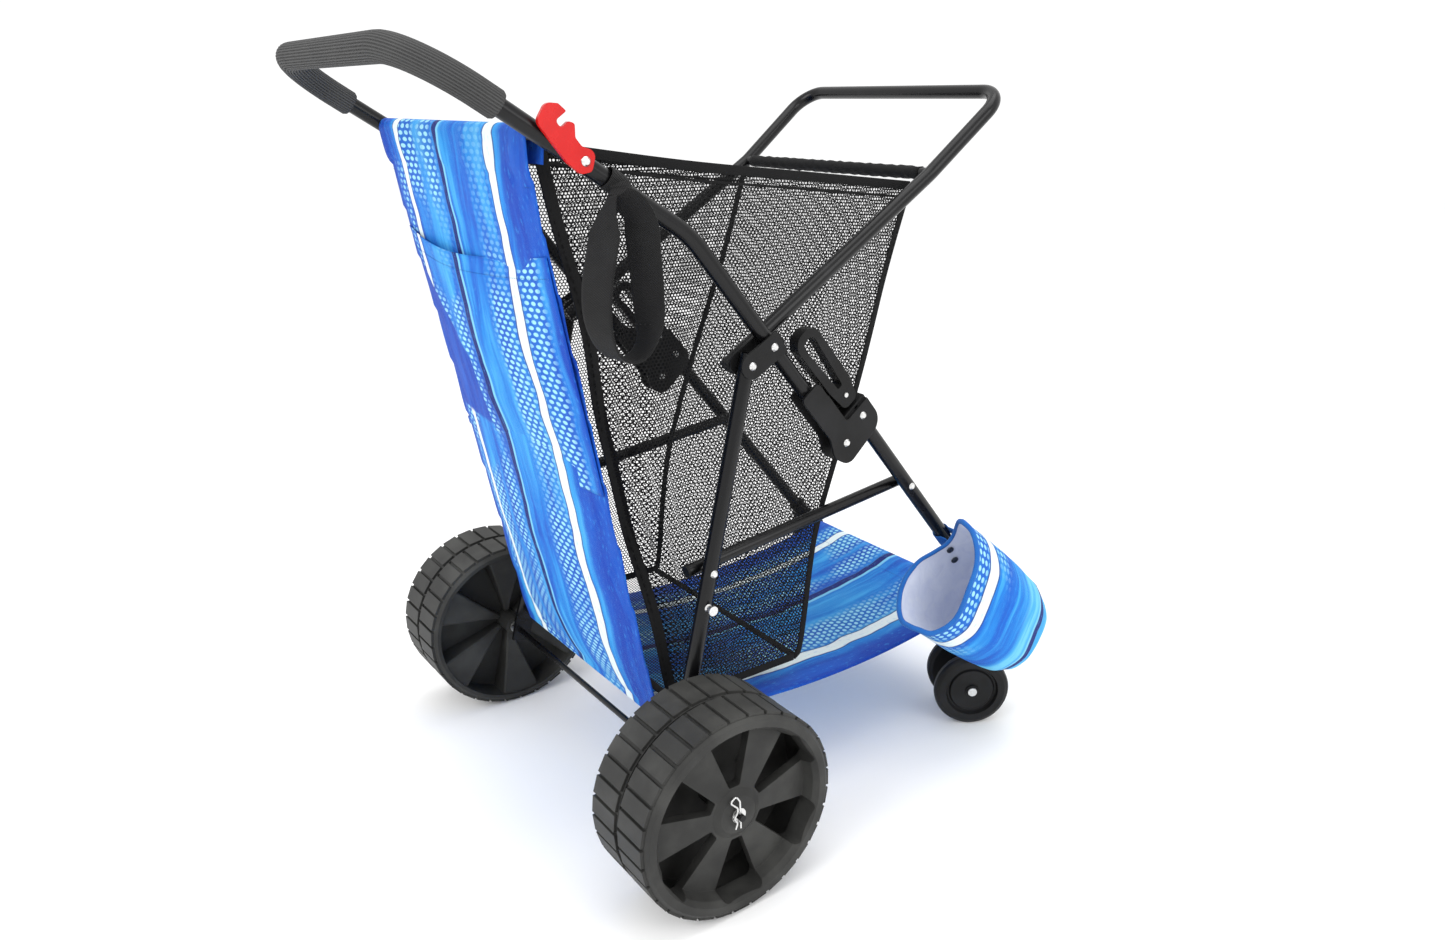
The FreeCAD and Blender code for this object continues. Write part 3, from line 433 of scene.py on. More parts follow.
def smooth_line(points, count):
    """count points evenly along a smooth curve through the given ones."""
    points = [Vector(point) for point in points]
    padded = [points[0] * 2 - points[1], *points, points[-1] * 2 - points[-2]]
    fine = []
    for index in range(1, len(padded) - 2):
        a, b, c, d = padded[index - 1 : index + 3]
        for step in range(16):
            t = step / 16
            curve = 2 * b + (c - a) * t + (2 * a - 5 * b + 4 * c - d) * t * t
            fine.append((curve + (3 * b - a - 3 * c + d) * t**3) / 2)
    fine.append(points[-1])
    return even_line(fine, count)


def even_line(points, count):
    """count points evenly along a polyline."""
    line = np.array([tuple(point) for point in points])
    reach = np.concatenate([[0], np.cumsum(np.linalg.norm(np.diff(line, axis=0), axis=1))])
    wanted = np.linspace(0, reach[-1], count)
    return [Vector([np.interp(at_reach, reach, line[:, k]) for k in range(3)]) for at_reach in wanted]


def across_cart(half, y, z, steps):
    """Points straight across the cart, from its left side to its right."""
    return [Vector((-half + 2 * half * step / steps, y, z)) for step in range(steps + 1)]


def line_length(points):
    return sum((b - a).length for a, b in zip(points, points[1:]))


def arc(hub, radius, start, end, steps):
    """Points round a bar's centre in the YZ plane. Angles are in degrees from +Y towards +Z."""
    made = []
    for step in range(steps + 1):
        angle = math.radians(start + (end - start) * step / steps)
        made.append(hub + Vector((0, math.cos(angle), math.sin(angle))) * radius)
    return made


# Cloth materials ---------------------------------------------------------------------------------

ROYAL = (0.003, 0.052, 0.42, 1)
NAVY = (0.003, 0.015, 0.17, 1)
MID = (0.005, 0.120, 0.58, 1)
BLUE = (0.010, 0.215, 0.68, 1)
SKY = (0.045, 0.370, 0.80, 1)
PALE = (0.36, 0.74, 0.88, 1)
WHITE = (0.80, 0.90, 0.92, 1)


def weave(graph, across, along, pitch):
    """The height of a plain weave: two crossing sets of threads."""
    turns = 2 * math.pi / pitch
    warp = graph.math("SINE", graph.times(across, turns))
    weft = graph.math("SINE", graph.times(along, turns))
    return graph.times(warp, weft)


def stripe_at(graph, offset, half, soft=0.0016):
    """1 within half of the line where offset is 0. offset and half are in metres."""
    return graph.step(graph.math("ABSOLUTE", offset), half + soft, half - soft)


def dots_over(graph, across, along, pitch):
    """Dots in staggered rows. pitch is their spacing across the cloth and the spacing of the rows."""
    rows = graph.math("DIVIDE", along, pitch[1])
    odd = graph.times(graph.math("FLOORED_MODULO", graph.math("FLOOR", rows), 2.0), 0.5)
    column = graph.plus(graph.math("DIVIDE", across, pitch[0]), odd)
    from_x = graph.math("SUBTRACT", graph.math("FRACT", column), 0.5)
    from_y = graph.math("SUBTRACT", graph.math("FRACT", rows), 0.5)
    squares = graph.plus(graph.math("POWER", from_x, 2.0), graph.math("POWER", from_y, 2.0))
    return graph.step(graph.math("SQRT", squares), 0.40, 0.28)


def zone(graph, across, low, high, soft=0.012):
    """1 between two places across the cloth, with soft sides."""
    rising = graph.step(across, low - soft, low + soft)
    falling = graph.step(across, high + soft, high - soft)
    return graph.times(rising, falling)


def printed_cloth(name, right_dots, dot_pitch, pocket_shade_run=None, pouch=False):
    """Blue beach print. print_u runs across the cloth and print_v along it, both in metres.

    The fourth argument gives the run of print_v beside a pocket's open left part, where the panel is painted
    plain royal blue as shade inside the pocket's gap.
    The pouch is cut from a calmer part of the print, with fewer dots and a pale end.
    """
    graph = Graph(name)
    sway_share = 0.35 if pouch else 1.0
    across = graph.attribute("print_u")
    along = graph.attribute("print_v")
    drift = graph.noise(graph.vector(0.0, along, 0.0), 7.0, 2)
    sway = graph.noise(graph.vector(3.0, along, 0.0), 26.0, 1)
    slow = graph.span(drift, -0.016 * sway_share, 0.016 * sway_share)
    shift = graph.plus(slow, graph.span(sway, -0.003 * sway_share, 0.003 * sway_share))
    wavy = graph.plus(across, shift)

    streak_place = graph.vector(graph.times(wavy, 42.0), graph.times(along, 4.2), 0.0)
    streaks = graph.noise(streak_place, 1.0, 4, 0.9)
    broad = graph.noise(streak_place, 0.30, 2, 0.4)
    wash = graph.plus(graph.times(streaks, 0.6), graph.times(broad, 0.4))
    stops = [(0.34, ROYAL[:3]), (0.43, MID[:3]), (0.51, BLUE[:3]), (0.59, SKY[:3])]
    stops.append((0.70, (0.12, 0.50, 0.84)))
    colour = graph.ramp(wash, stops)
    right_edge = (0.382, 0.398) if right_dots else (0.335, 0.350)
    if pouch:
        pale = graph.mix(graph.step(streaks, 0.40, 0.60), SKY, (0.16, 0.58, 0.86, 1))
        colour = graph.mix(zone(graph, wavy, 0.090, 0.216, 0.006), colour, pale)
    edge = graph.math("MAXIMUM", graph.step(wavy, *right_edge), graph.step(wavy, 0.020, 0.008))
    royal = graph.mix(graph.step(streaks, 0.35, 0.7), ROYAL, (0.006, 0.10, 0.54, 1))
    colour = graph.mix(edge, colour, royal)

    dots = dots_over(graph, wavy, along, dot_pitch)
    patches = graph.step(graph.noise(graph.vector(across, along, 5.0), 8.0, 1), 0.36, 0.50)
    spread = graph.step(graph.noise(graph.vector(6.0, along, 1.0), 5.0, 1), 0.40, 0.52)
    strong = graph.times(zone(graph, wavy, 0.250, 0.304), graph.span(spread, 0.25, 1.0))
    middle_band = graph.times(zone(graph, wavy, 0.125, 0.158), patches)
    left_band = graph.times(zone(graph, wavy, 0.022, 0.105), patches)
    if pouch:
        where = graph.times(zone(graph, wavy, 0.280, 0.304), patches)
    else:
        where = graph.math("MAXIMUM", strong, graph.math("MAXIMUM", middle_band, left_band))
    if right_dots:
        where = graph.math("MAXIMUM", where, zone(graph, wavy, 0.332, 0.378))
    colour = graph.mix(graph.times(where, 0.65), colour, (0.004, 0.085, 0.50, 1))
    colour = graph.mix(graph.times(graph.times(dots, where), 0.95), colour, PALE)

    swell = graph.span(graph.noise(graph.vector(9.0, along, 0.0), 11.0, 1), 0.6, 1.4)
    for middle, half, outline in ((0.054, 0.0074, 0.0016), (0.318, 0.0092, 0.0020)):
        offset = graph.math("DIVIDE", graph.math("SUBTRACT", wavy, middle), swell)
        colour = graph.mix(stripe_at(graph, offset, half + outline), colour, NAVY)
        colour = graph.mix(stripe_at(graph, offset, half, 0.0008), colour, WHITE)
    line_at = 0.172 if pouch else 0.175
    offset = graph.math("DIVIDE", graph.math("SUBTRACT", wavy, line_at), swell)
    beside_line = graph.math("SUBTRACT", offset, 0.0030)
    colour = graph.mix(stripe_at(graph, beside_line, 0.0088), colour, (0.20, 0.58, 0.86, 1))
    colour = graph.mix(stripe_at(graph, offset, 0.0062, 0.0008), colour, NAVY)
    fleck_place = graph.vector(graph.times(across, 260.0), graph.times(along, 90.0), 2.0)
    fleck = graph.noise(fleck_place, 1.0, 3)
    colour = graph.mix(graph.times(graph.step(fleck, 0.56, 0.72), 0.35), colour, SKY)

    # Painted shade: plain royal blue on the panel where it shows through the pocket's open gap.
    if pocket_shade_run:
        pocket_gap_shade = graph.times(zone(graph, along, *pocket_shade_run, 0.004), graph.step(across, 0.17, 0.15))
        colour = graph.mix(pocket_gap_shade, colour, royal)

    threads = weave(graph, across, along, 0.0009)
    creases = graph.noise(graph.place(), 30, 4, 0.5)
    height = graph.plus(graph.times(threads, 0.12), creases)
    graph.bump(height, 0.0020, 0.6)
    rough = graph.span(creases, 0.50, 0.70)
    return graph.settle(colour=colour, rough=rough, gloss=0.18, sheen=0.02)


def plain_cloth(name, dark, light, pitch, rough=0.8, height=0.0006, sheen=0.1):
    """One-colour woven cloth. pitch is the distance between threads."""
    graph = Graph(name)
    place = graph.place()
    split = graph.node("ShaderNodeSeparateXYZ")
    graph.put(split.inputs[0], place)
    slanted = graph.plus(split.outputs[0], split.outputs[1])
    threads = weave(graph, slanted, split.outputs[2], pitch)
    cloud = graph.noise(place, 40, 3)
    graph.bump(graph.plus(graph.times(threads, 0.5), cloud), height, 0.6)
    colour = graph.mix(graph.times(graph.plus(threads, cloud), 0.6), (*dark, 1), (*light, 1))
    roughness = graph.span(cloud, rough - 0.1, rough + 0.1)
    return graph.settle(colour=colour, rough=roughness, gloss=0.15, sheen=sheen)


def foam_skin():
    graph = Graph("foam_skin")
    pores = graph.noise(graph.place(), 900, 3)
    worn = graph.noise(graph.place(), 22, 3)
    graph.bump(pores, 0.0003, 0.6)
    colour = graph.mix(worn, (0.040, 0.040, 0.041, 1), (0.078, 0.078, 0.077, 1))
    return graph.settle(colour=colour, rough=graph.span(worn, 0.62, 0.82), gloss=0.3)


# Ribs behind the rear wheels' discs --------------------------------------------------------------


RIB_DEPTH = 0.0455
# Along a rib: distance from the hub's middle, half width, and the crest's depth in the wheel.
RIB_STATIONS = ((0.0150, 0.0030, 0.030), (0.040, 0.0085, 0.024))
RIB_STATIONS += ((0.070, 0.0165, 0.016), (0.1138, 0.0290, 0.0060))


def make_wheel_ribs():
    """Hollow wedge ribs that slope from the hub out to the barrel, behind each rear wheel's disc."""
    for name, sign in (("right", 1), ("left", -1)):
        low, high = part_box(f"rear_wheel_{name}")
        inner_x = low.x if sign > 0 else high.x
        hub = Vector((inner_x, (low.y + high.y) / 2, (low.z + high.z) / 2))
        points, faces = [], []
        for rib in range(6):
            turn = math.radians(60 * rib + 60)
            outward = Vector((0, math.sin(turn), math.cos(turn)))
            beside = Vector((0, math.cos(turn), -math.sin(turn)))
            base = len(points)
            for reach, half, crest in RIB_STATIONS:
                bevel = min(0.0022, half * 0.4)
                section = ((-half, RIB_DEPTH), (-half, crest + bevel), (-half + bevel, crest))
                section += ((half - bevel, crest), (half, crest + bevel), (half, RIB_DEPTH))
                for across, deep in section:
                    points.append(hub + outward * reach + beside * across + Vector((sign * deep, 0, 0)))
            walls = grid_faces(len(RIB_STATIONS), 6, wrap=True)
            faces += [tuple(base + index for index in face) for face in walls]
            faces.append(tuple(base + index for index in reversed(range(6))))
            faces.append(tuple(base + 6 * (len(RIB_STATIONS) - 1) + index for index in range(6)))
        ribs = mesh_object(f"wheel_ribs_{name}", points, faces, [bpy.data.materials["wheel_moulding"]])
        ribs.data.shade_flat()
        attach(ribs, f"rear_wheel_{name}")


# Foam grip ---------------------------------------------------------------------------------------


def swept(points, ring_at, count, closed_ends=True):
    """Rings of count points set square to a smooth line. ring_at(share, angle) gives the radius."""
    rings = []
    side = None
    for index, point in enumerate(points):
        before = points[max(index - 1, 0)]
        after = points[min(index + 1, len(points) - 1)]
        along = (after - before).normalized()
        if side is None:
            side = along.cross(Vector((0, 0, 1))).normalized()
        side = (side - along * side.dot(along)).normalized()
        up = along.cross(side)
        for step in range(count):
            angle = 2 * math.pi * step / count
            radius = ring_at(index / (len(points) - 1), angle)
            rings.append(point + (side * math.cos(angle) + up * math.sin(angle)) * radius)
    faces = grid_faces(len(points), count, wrap=True)
    if closed_ends:
        faces.append(tuple(reversed(range(count))))
        faces.append(tuple(range(len(rings) - count, len(rings))))
    return rings, faces


def make_foam_grip():
    """The grip follows the handle's U: down one arm, round both corners and down the other."""
    outer_r = 0.0148
    bar = at(0, -217.2, 934.1)
    end = at(0, -141, 883.1)
    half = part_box("foam_grip")[1].x - outer_r
    corner = 0.075
    end_x = half + 0.001
    arm = (bar - end).normalized()
    left = [Vector((-end_x, end.y, end.z)), Vector((-half, bar.y, bar.z)) - arm * corner]
    bend = []
    for step in range(1, 13):
        angle = math.pi / 2 * step / 12
        across = -half + corner * (1 - math.cos(angle))
        bend.append(Vector((across, bar.y, bar.z)) - arm * corner * (1 - math.sin(angle)))
    line = left + bend
    line += [Vector((-point.x, point.y, point.z)) for point in reversed(line)]
    line = even_line(line, 190)
    ribs = 30

    def rib(share, angle):
        ends = min(share, 1 - share) * line_length(line)
        rounded = outer_r - 0.0018 * max(0.0, 1 - ends / 0.003) ** 2
        return rounded - 0.0016 * (0.5 - 0.5 * math.cos(ribs * angle)) ** 2

    points, faces = swept(line, rib, ribs * 8)
    grip = mesh_object("foam_grip_ribbed", points, faces, [foam_skin()])
    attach(grip, "handle_frame")
    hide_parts("foam_grip")


# Printed cloth: back panel, pocket and platform --------------------------------------------------


def cloth_strip(name, line, half, columns, shape, materials, flip_u=False, u_shift=0.0):
    """A sheet along a line in the cart's middle plane. shape(x_share, v, point) moves each point."""
    points = []
    across = []
    along = []
    run = 0.0
    for row, point in enumerate(line):
        if row:
            run += (point - line[row - 1]).length
        for column in range(columns):
            share = column / (columns - 1)
            x = -half + 2 * half * share
            points.append(shape(share, run, Vector((x, point.y, point.z))))
            across.append((share * 2 * half) + u_shift)
            along.append(run)
    piece = mesh_object(name, points, grid_faces(len(line), columns), materials)
    set_value(piece, "print_u", across)
    set_value(piece, "print_v", along)
    return piece


def panel_line():
    """The back panel's run: inside hem, over the bag bar, down to the rear bar and round it."""
    down = (REAR_BAR - BAG_BAR).normalized()
    out = Vector((0, -down.z, down.y))
    if out.y > 0:
        out = -out
    lean = math.degrees(math.atan2(out.z, out.y))
    skin = BAR_R + 0.0011
    hem = [BAG_BAR - out * skin + down * 0.030 + out * 0.0062, BAG_BAR - out * skin + down * 0.010]
    over = arc(BAG_BAR, skin, lean + 180, lean + 360, 10)
    end = arc(REAR_BAR, skin, lean, lean + 50, 4)
    run = []
    start = over[-1]
    for step in range(1, 90):
        run.append(start.lerp(end[0], (step / 90) ** 1.25))
    return hem + over + run + end, out, down


def ripples(share, v, seed):
    """Slow folds that run down the cloth."""
    place = Vector((share * 5.0, v * 2.2, seed))
    return noise.noise(place) + 0.45 * noise.noise(place * 2.3)


SLEEVE = 0.046
PANEL_TAPER = 0.055
POCKET_DOWN = 0.118
POCKET_REACH = 0.270
PANEL_DOTS = (0.0155, 0.0072)
# The run of print_v where the panel is painted plain royal blue as shade inside the pocket's gap.
POCKET_GAP_SHADE = (0.205, 0.412)


def blend_down_panel(piece):
    """Bakes the piece's transform into its mesh. Its top and foot points are worked out but not used."""
    top, foot = BAG_BAR.lerp(REAR_BAR, 0.12), BAG_BAR.lerp(REAR_BAR, 0.97)
    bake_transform(piece)
    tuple(top)
    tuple(foot)


def make_back_panel():
    """The panel hangs from a puffed sleeve round the bag bar and runs down to the rear bar."""
    line, out, down = panel_line()
    total = line_length(line)
    top = 0.030 + math.pi * BAR_R

    def shape(share, v, point):
        inner = clamp((v - top) / 0.05) * clamp((total - v) / 0.06)
        belly = math.sin(math.pi * clamp((v - top) / (total - top)))
        sides = abs(2 * share - 1) ** 6
        wave = ripples(share, v, 3.0) * 0.0045 * inner
        hollow = 0.007 * belly * (1 - abs(2 * share - 1) ** 3)
        narrow = 1 - 0.012 * sides * (0.5 - 0.5 * math.cos(v * 2 * math.pi / 0.105)) * inner
        narrow -= PANEL_TAPER * max(0.0, (v - top) / (total - top))
        sleeve = clamp((v - top) / SLEEVE)
        scallop = 0.6 + 0.4 * math.cos(share * 2 * math.pi * 6.5)
        puff = 0.0050 * math.sin(math.pi * sleeve) * scallop
        pinch = 0.0016 * math.exp(-(((v - top - SLEEVE) / 0.0035) ** 2))
        moved = point + out * (wave + hollow + puff - pinch)
        widened = 1 + 0.043 * (1 - sleeve * sleeve * (3 - 2 * sleeve))
        moved.x *= narrow * widened
        return moved

    columns = 72
    print_cloth = printed_cloth("panel_print", False, PANEL_DOTS, POCKET_GAP_SHADE)
    panel = cloth_strip("back_panel_cloth", line, PANEL_HALF, columns, shape, [print_cloth])
    rows = len(line)
    held_rows = (*range(13), *range(rows - 6, rows))
    held = [row * columns + column for row in held_rows for column in range(columns)]
    for row in range(13, rows - 6, 9):
        held += [row * columns, row * columns + columns - 1]
    settle_cloth(panel, held, 14)
    thicken(panel, 0.0010)
    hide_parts("back_panel")
    blend_down_panel(panel)
    thread = plain_cloth("sleeve_thread", (0.01, 0.05, 0.30), (0.03, 0.12, 0.45), 0.0012)
    place = BAG_BAR + down * (SLEEVE + 0.004) + out * (BAR_R + 0.0036)
    seam_line = across_cart(PANEL_HALF, place.y, place.z, 60)
    seam = stitches("sleeve_stitches", seam_line, out, thread)
    blend_down_panel(seam)
    make_pocket(out, down)


def make_pocket(out, down):
    """The full-width pocket. Its left part stands open and curls away from the panel."""
    rows, columns = 56, 64
    reach = POCKET_REACH
    start = BAG_BAR + down * POCKET_DOWN + out * (BAR_R + 0.0011)
    width = 2 * PANEL_HALF
    points, across, along = [], [], []
    for row in range(rows):
        share_v = row / (rows - 1)
        gap = min(1.0, share_v / 0.55) ** 1.2 * clamp((0.96 - share_v) / 0.05)
        left = 0.015 + 0.34 * gap
        for column in range(columns):
            share = left + (0.992 - left) * column / (columns - 1)
            lip = max(0.0, 1 - (share - left) / 0.16) ** 2
            sag = 0.016 * math.sin(math.pi * share) * (1 - share_v) ** 3
            low_share = min(1, share_v * 1.05 + 0.04)
            stand = 0.0085 * math.sin(math.pi * share) ** 0.7 * math.sin(math.pi * low_share) ** 0.7
            stand += 0.0035
            stand += 0.004 * lip * gap + 0.010 * (1 - share_v) ** 4 * math.sin(math.pi * min(1.0, share * 1.6))
            stand += 0.0035 * ripples(share * 1.3, share_v * 0.27, 8.0) * math.sin(math.pi * share_v)
            hollow = 0.007 * math.sin(math.pi * (0.12 + 0.42 * share_v)) * (1 - abs(2 * share - 1) ** 3)
            place = start + down * (share_v * reach + sag) + out * (stand + hollow)
            taper = 1 - PANEL_TAPER * (POCKET_DOWN + share_v * reach) / 0.70
            points.append(Vector(((width * share - PANEL_HALF) * taper, place.y, place.z)))
            across.append(share * width)
            along.append(0.148 + share_v * reach)
    print_cloth = printed_cloth("pocket_print", True, PANEL_DOTS)
    pocket = mesh_object("panel_pocket_cloth", points, grid_faces(rows, columns), [print_cloth])
    set_value(pocket, "print_u", across)
    set_value(pocket, "print_v", along)
    thicken(pocket, 0.0012)
    blend_down_panel(pocket)
    thread = plain_cloth("stitch_thread", (0.02, 0.10, 0.42), (0.05, 0.2, 0.6), 0.0012)
    hem_line = []
    for column in range(columns):
        hem_line.append((points[4 * columns + column] + points[5 * columns + column]) / 2 + out * 0.0011)
    seam = stitches("pocket_hem_stitches", hem_line, out, thread)
    blend_down_panel(seam)


def stitches(name, line, out, material, pitch=0.0042):
    """A run of short threads along a line, standing just proud of the cloth."""
    total = line_length(line)
    marks = even_line(line, max(2, int(total / pitch)))
    points, faces = [], []
    for first, second in zip(marks, marks[1:]):
        along = second - first
        side = along.cross(out).normalized() * 0.0004
        tip = first + along * 0.68
        crown = first.lerp(tip, 0.5) + out * 0.0005
        base = len(points)
        points += [first, crown + side, tip, crown - side, first.lerp(tip, 0.5) - out * 0.0003]
        for face in ((0, 1, 2, 3), (0, 4, 2, 1), (0, 3, 2, 4)):
            faces.append(tuple(base + index for index in face))
    made = mesh_object(name, points, faces, [material])
    return made


def make_platform():
    """The sling: over the rear bar, forward to the front bar, round it and back to a hem."""
    skin = BAR_R + 0.0011
    line = arc(REAR_BAR, skin, 150, 90, 5)
    front = arc(FRONT_BAR, skin, 90, -90, 10)
    start = line[-1]
    for step in range(1, 80):
        line.append(start.lerp(front[0], step / 80))
    line += front
    under = FRONT_BAR - Vector((0, 0, skin))
    line += [under + Vector((0, -0.012 * step, 0.0014 * step)) for step in range(1, 5)]
    total = line_length(line)
    columns = 64

    def shape(share, v, point):
        inner = clamp((v - 0.03) / 0.06) * clamp((total - 0.10 - v) / 0.06)
        sag = 0.006 * math.sin(math.pi * min(1.0, v / (total - 0.07))) * (1 - (2 * share - 1) ** 2)
        wave = 0.003 * ripples(share, v, 17.0) * inner
        point = point.copy()
        point.z += wave - sag * inner
        return point

    print_cloth = printed_cloth("platform_print", False, (0.0105, 0.0085))
    sling = cloth_strip("platform_cloth", line, SLING_HALF, columns, shape, [print_cloth], u_shift=-0.022)
    rows = len(line)
    held_rows = (*range(7), *range(rows - 17, rows))
    held = [row * columns + column for row in held_rows for column in range(columns)]
    settle_cloth(sling, held, 14)
    thicken(sling, 0.0012)
    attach(sling, "platform")
    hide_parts("platform_sling")
    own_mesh(sling)
    thread = plain_cloth("hem_thread", (0.02, 0.10, 0.42), (0.05, 0.2, 0.6), 0.0012)
    place = FRONT_BAR.y - 0.052
    level = FRONT_BAR.z + skin
    seam_line = across_cart(SLING_HALF, place, level + 0.0004, 60)
    seam = stitches("platform_hem_stitches", seam_line, Vector((0, 0, 1)), thread)
    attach(seam, "platform")
    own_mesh(seam)


# Mesh tote ---------------------------------------------------------------------------------------

NET_PITCH = 0.0046
NET_THREAD = 0.00145


def net(name, outline, place, material):
    """A honeycomb net inside a flat outline. place(s, t) puts a flat point into the frame."""
    corners = np.array(outline)
    low, high = corners.min(0), corners.max(0)
    row_step = NET_PITCH * 0.866
    rows = int((high[1] - low[1]) / row_step) + 1
    columns = int((high[0] - low[0]) / NET_PITCH) + 2
    row_of, column_of = np.meshgrid(np.arange(rows), np.arange(columns), indexing="ij")
    s = low[0] + (column_of + 0.5 * (row_of % 2)) * NET_PITCH
    t = low[1] + row_of * row_step
    third = NET_PITCH / math.sqrt(3)
    lower = np.stack([s, t - third / 2], -1).reshape(-1, 2)
    upper = np.stack([s, t + third / 2], -1).reshape(-1, 2)
    index = np.arange(rows * columns).reshape(rows, columns)
    links = []
    for row in range(rows):
        for column in range(columns):
            me = index[row, column]
            links.append((me, len(lower) + me))
            if row + 1 < rows:
                for step in (0, 1):
                    beside = column + step - (0 if row % 2 else 1)
                    if 0 <= beside < columns:
                        links.append((len(lower) + me, index[row + 1, beside]))
    flat = np.concatenate([lower, upper])
    links = np.array(links)
    keep = inside(flat, corners)
    links = links[keep[links[:, 0]] & keep[links[:, 1]]]
    run = flat[links[:, 1]] - flat[links[:, 0]]
    side = np.stack([-run[:, 1], run[:, 0]], -1) / np.linalg.norm(run, axis=1)[:, None] * NET_THREAD / 2
    ends = run / np.linalg.norm(run, axis=1)[:, None] * NET_THREAD * 0.3
    first, last = flat[links[:, 0]] - ends, flat[links[:, 1]] + ends
    strip = np.stack([first - side, last - side, last + side, first + side], 1).reshape(-1, 2)
    points = place(strip[:, 0], strip[:, 1])
    count = len(links)
    data = bpy.data.meshes.new(name)
    data.vertices.add(4 * count)
    data.vertices.foreach_set("co", points.astype(np.float32).ravel())
    data.loops.add(4 * count)
    data.loops.foreach_set("vertex_index", np.arange(4 * count, dtype=np.int32))
    data.polygons.add(count)
    data.polygons.foreach_set("loop_start", np.arange(0, 4 * count, 4, dtype=np.int32))
    data.update(calc_edges=True)
    data.validate()
    data.materials.append(material)
    made = bpy.data.objects.new(name, data)
    bpy.context.collection.objects.link(made)
    return made, float(count * NET_THREAD * (third + 0.6 * NET_THREAD))


def inside(points, outline):
    """Which flat points lie inside the outline."""
    found = np.zeros(len(points), bool)
    x, y = points[:, 0], points[:, 1]
    for a, b in zip(outline, np.roll(outline, -1, axis=0)):
        crosses = (a[1] > y) != (b[1] > y)
        with np.errstate(divide="ignore", invalid="ignore"):
            at_x = (b[0] - a[0]) * (y - a[1]) / (b[1] - a[1]) + a[0]
        found ^= crosses & (x < at_x)
    return found


# A tape's section with its corners cut, as shares of its width and gauge.
TAPE_SECTION = ((-0.5, -0.35), (-0.42, -0.5), (0.42, -0.5), (0.5, -0.35))
TAPE_SECTION += ((0.5, 0.35), (0.42, 0.5), (-0.42, 0.5), (-0.5, 0.35))


def ribbon(name, line, facing, width, gauge, material):
    """A flat tape along a line, facing one way. facing is a direction or one for each point."""
    points = []
    for index, point in enumerate(line):
        along = (line[min(index + 1, len(line) - 1)] - line[max(index - 1, 0)]).normalized()
        out = facing[index] if isinstance(facing, list) else facing
        side = along.cross(out).normalized()
        lift = side.cross(along).normalized()
        for a, b in TAPE_SECTION:
            points.append(point + side * (a * width) + lift * (b * gauge))
    faces = grid_faces(len(line), 8, wrap=True)
    faces.append(tuple(reversed(range(8))))
    faces.append(tuple(range(len(points) - 8, len(points))))
    return mesh_object(name, points, faces, [material])


def on_side(y, z):
    """A point in the cart's middle plane, in metres from the ground under the axle."""
    return Vector((0.0, y + GROUND_Y, z))


TOTE_REAR = [(-0.093, 0.846), (0.022, 0.183)]
TOTE_FRONT = [(0.208, 0.183), (0.219, 0.200), (0.243, 0.345)]
TOTE_FRONT += [(0.272, 0.436), (0.340, 0.611), (0.404, 0.786)]


def side_bulge(y, z):
    """How far the tote's side wall stands inside its taut plane, in metres."""
    rear = -0.093 + (0.846 - z) * 0.1735
    front = np.interp(z, [p[1] for p in TOTE_FRONT], [p[0] for p in TOTE_FRONT])
    share = np.clip((y - rear) / (front - rear), 0, 1)
    fall = np.clip((0.816 - z) / 0.63, 0, 1)
    hollow = 0.013 * np.sin(math.pi * share) * np.sin(math.pi * fall) ** 0.8
    pleats = 0.0085 * np.sin(2 * math.pi * (y - rear) / 0.024 + 1.5 * np.sin(z * 16))
    pleats = pleats * np.exp(-(((y - rear) / 0.062) ** 2)) * np.clip(fall * 5, 0, 1)
    folds = 0.0055 * np.sin(2 * math.pi * (share * 3.6 + 0.35 * np.sin(z * 5.5))) * np.clip(fall * 4, 0, 1)
    return hollow + (pleats + folds) * np.clip((z - 0.183) / 0.08, 0, 1)


def make_tote():
    """Four walls of net, bound along every seam, between the back panel, the handle tube and the hoop."""
    thread = plain_cloth("net_thread", (0.004, 0.004, 0.004), (0.012, 0.012, 0.013), 0.0011, 0.7, 0.0002, 0.0)
    tape = plain_cloth("binding_tape", (0.004, 0.004, 0.004), (0.014, 0.014, 0.015), 0.0016, 0.75, 0.0005, 0.02)
    wall_x = BAG_HALF - 0.001
    walls = []

    def joined(piece):
        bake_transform(piece)
        return piece

    for name, sign in (("right", 1), ("left", -1)):

        def stand(s, t, sign=sign):
            x = sign * (wall_x - side_bulge(s, t))
            return np.stack([x, s + GROUND_Y, t], -1)

        wall, area = net(f"tote_side_{name}", TOTE_REAR + TOTE_FRONT, stand, thread)
        walls.append(joined(wall))

    front_line = even_line([on_side(*p) for p in smooth_side(TOTE_FRONT)], 80)
    reach = line_length(front_line)
    line = np.array([tuple(p) for p in front_line])
    at_reach = np.linspace(0, reach, len(line))

    def stand_front(s, t):
        belly = 0.010 * np.cos(s / wall_x * math.pi / 2) * np.sin(np.clip(t / reach, 0, 1) * math.pi)
        ripple = 0.0025 * np.sin(s * 55 + 2 * np.sin(t * 9)) * np.sin(np.clip(t / reach, 0, 1) * math.pi)
        y = np.interp(t, at_reach, line[:, 1]) + belly + ripple
        return np.stack([s, y, np.interp(t, at_reach, line[:, 2])], -1)

    corners = [(-wall_x, 0), (wall_x, 0), (wall_x, reach), (-wall_x, reach)]
    front, area = net("tote_front", corners, stand_front, thread)
    joined(front)

    def stand_floor(s, t):
        sag = 0.006 * np.cos(s / wall_x * math.pi / 2) + 0 * t
        return np.stack([s, t + GROUND_Y, 0.1865 - sag], -1)

    corners = [(-wall_x, 0.022), (wall_x, 0.022), (wall_x, 0.208), (-wall_x, 0.208)]
    floor, area = net("tote_floor", corners, stand_floor, thread)
    joined(floor)

    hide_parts("mesh_bag")
    bind_tote(wall_x, tape, joined)


def smooth_side(points):
    curve = smooth_line([Vector((p[0], p[1], 0)) for p in points], 60)
    return [(p.x, p.y) for p in curve]


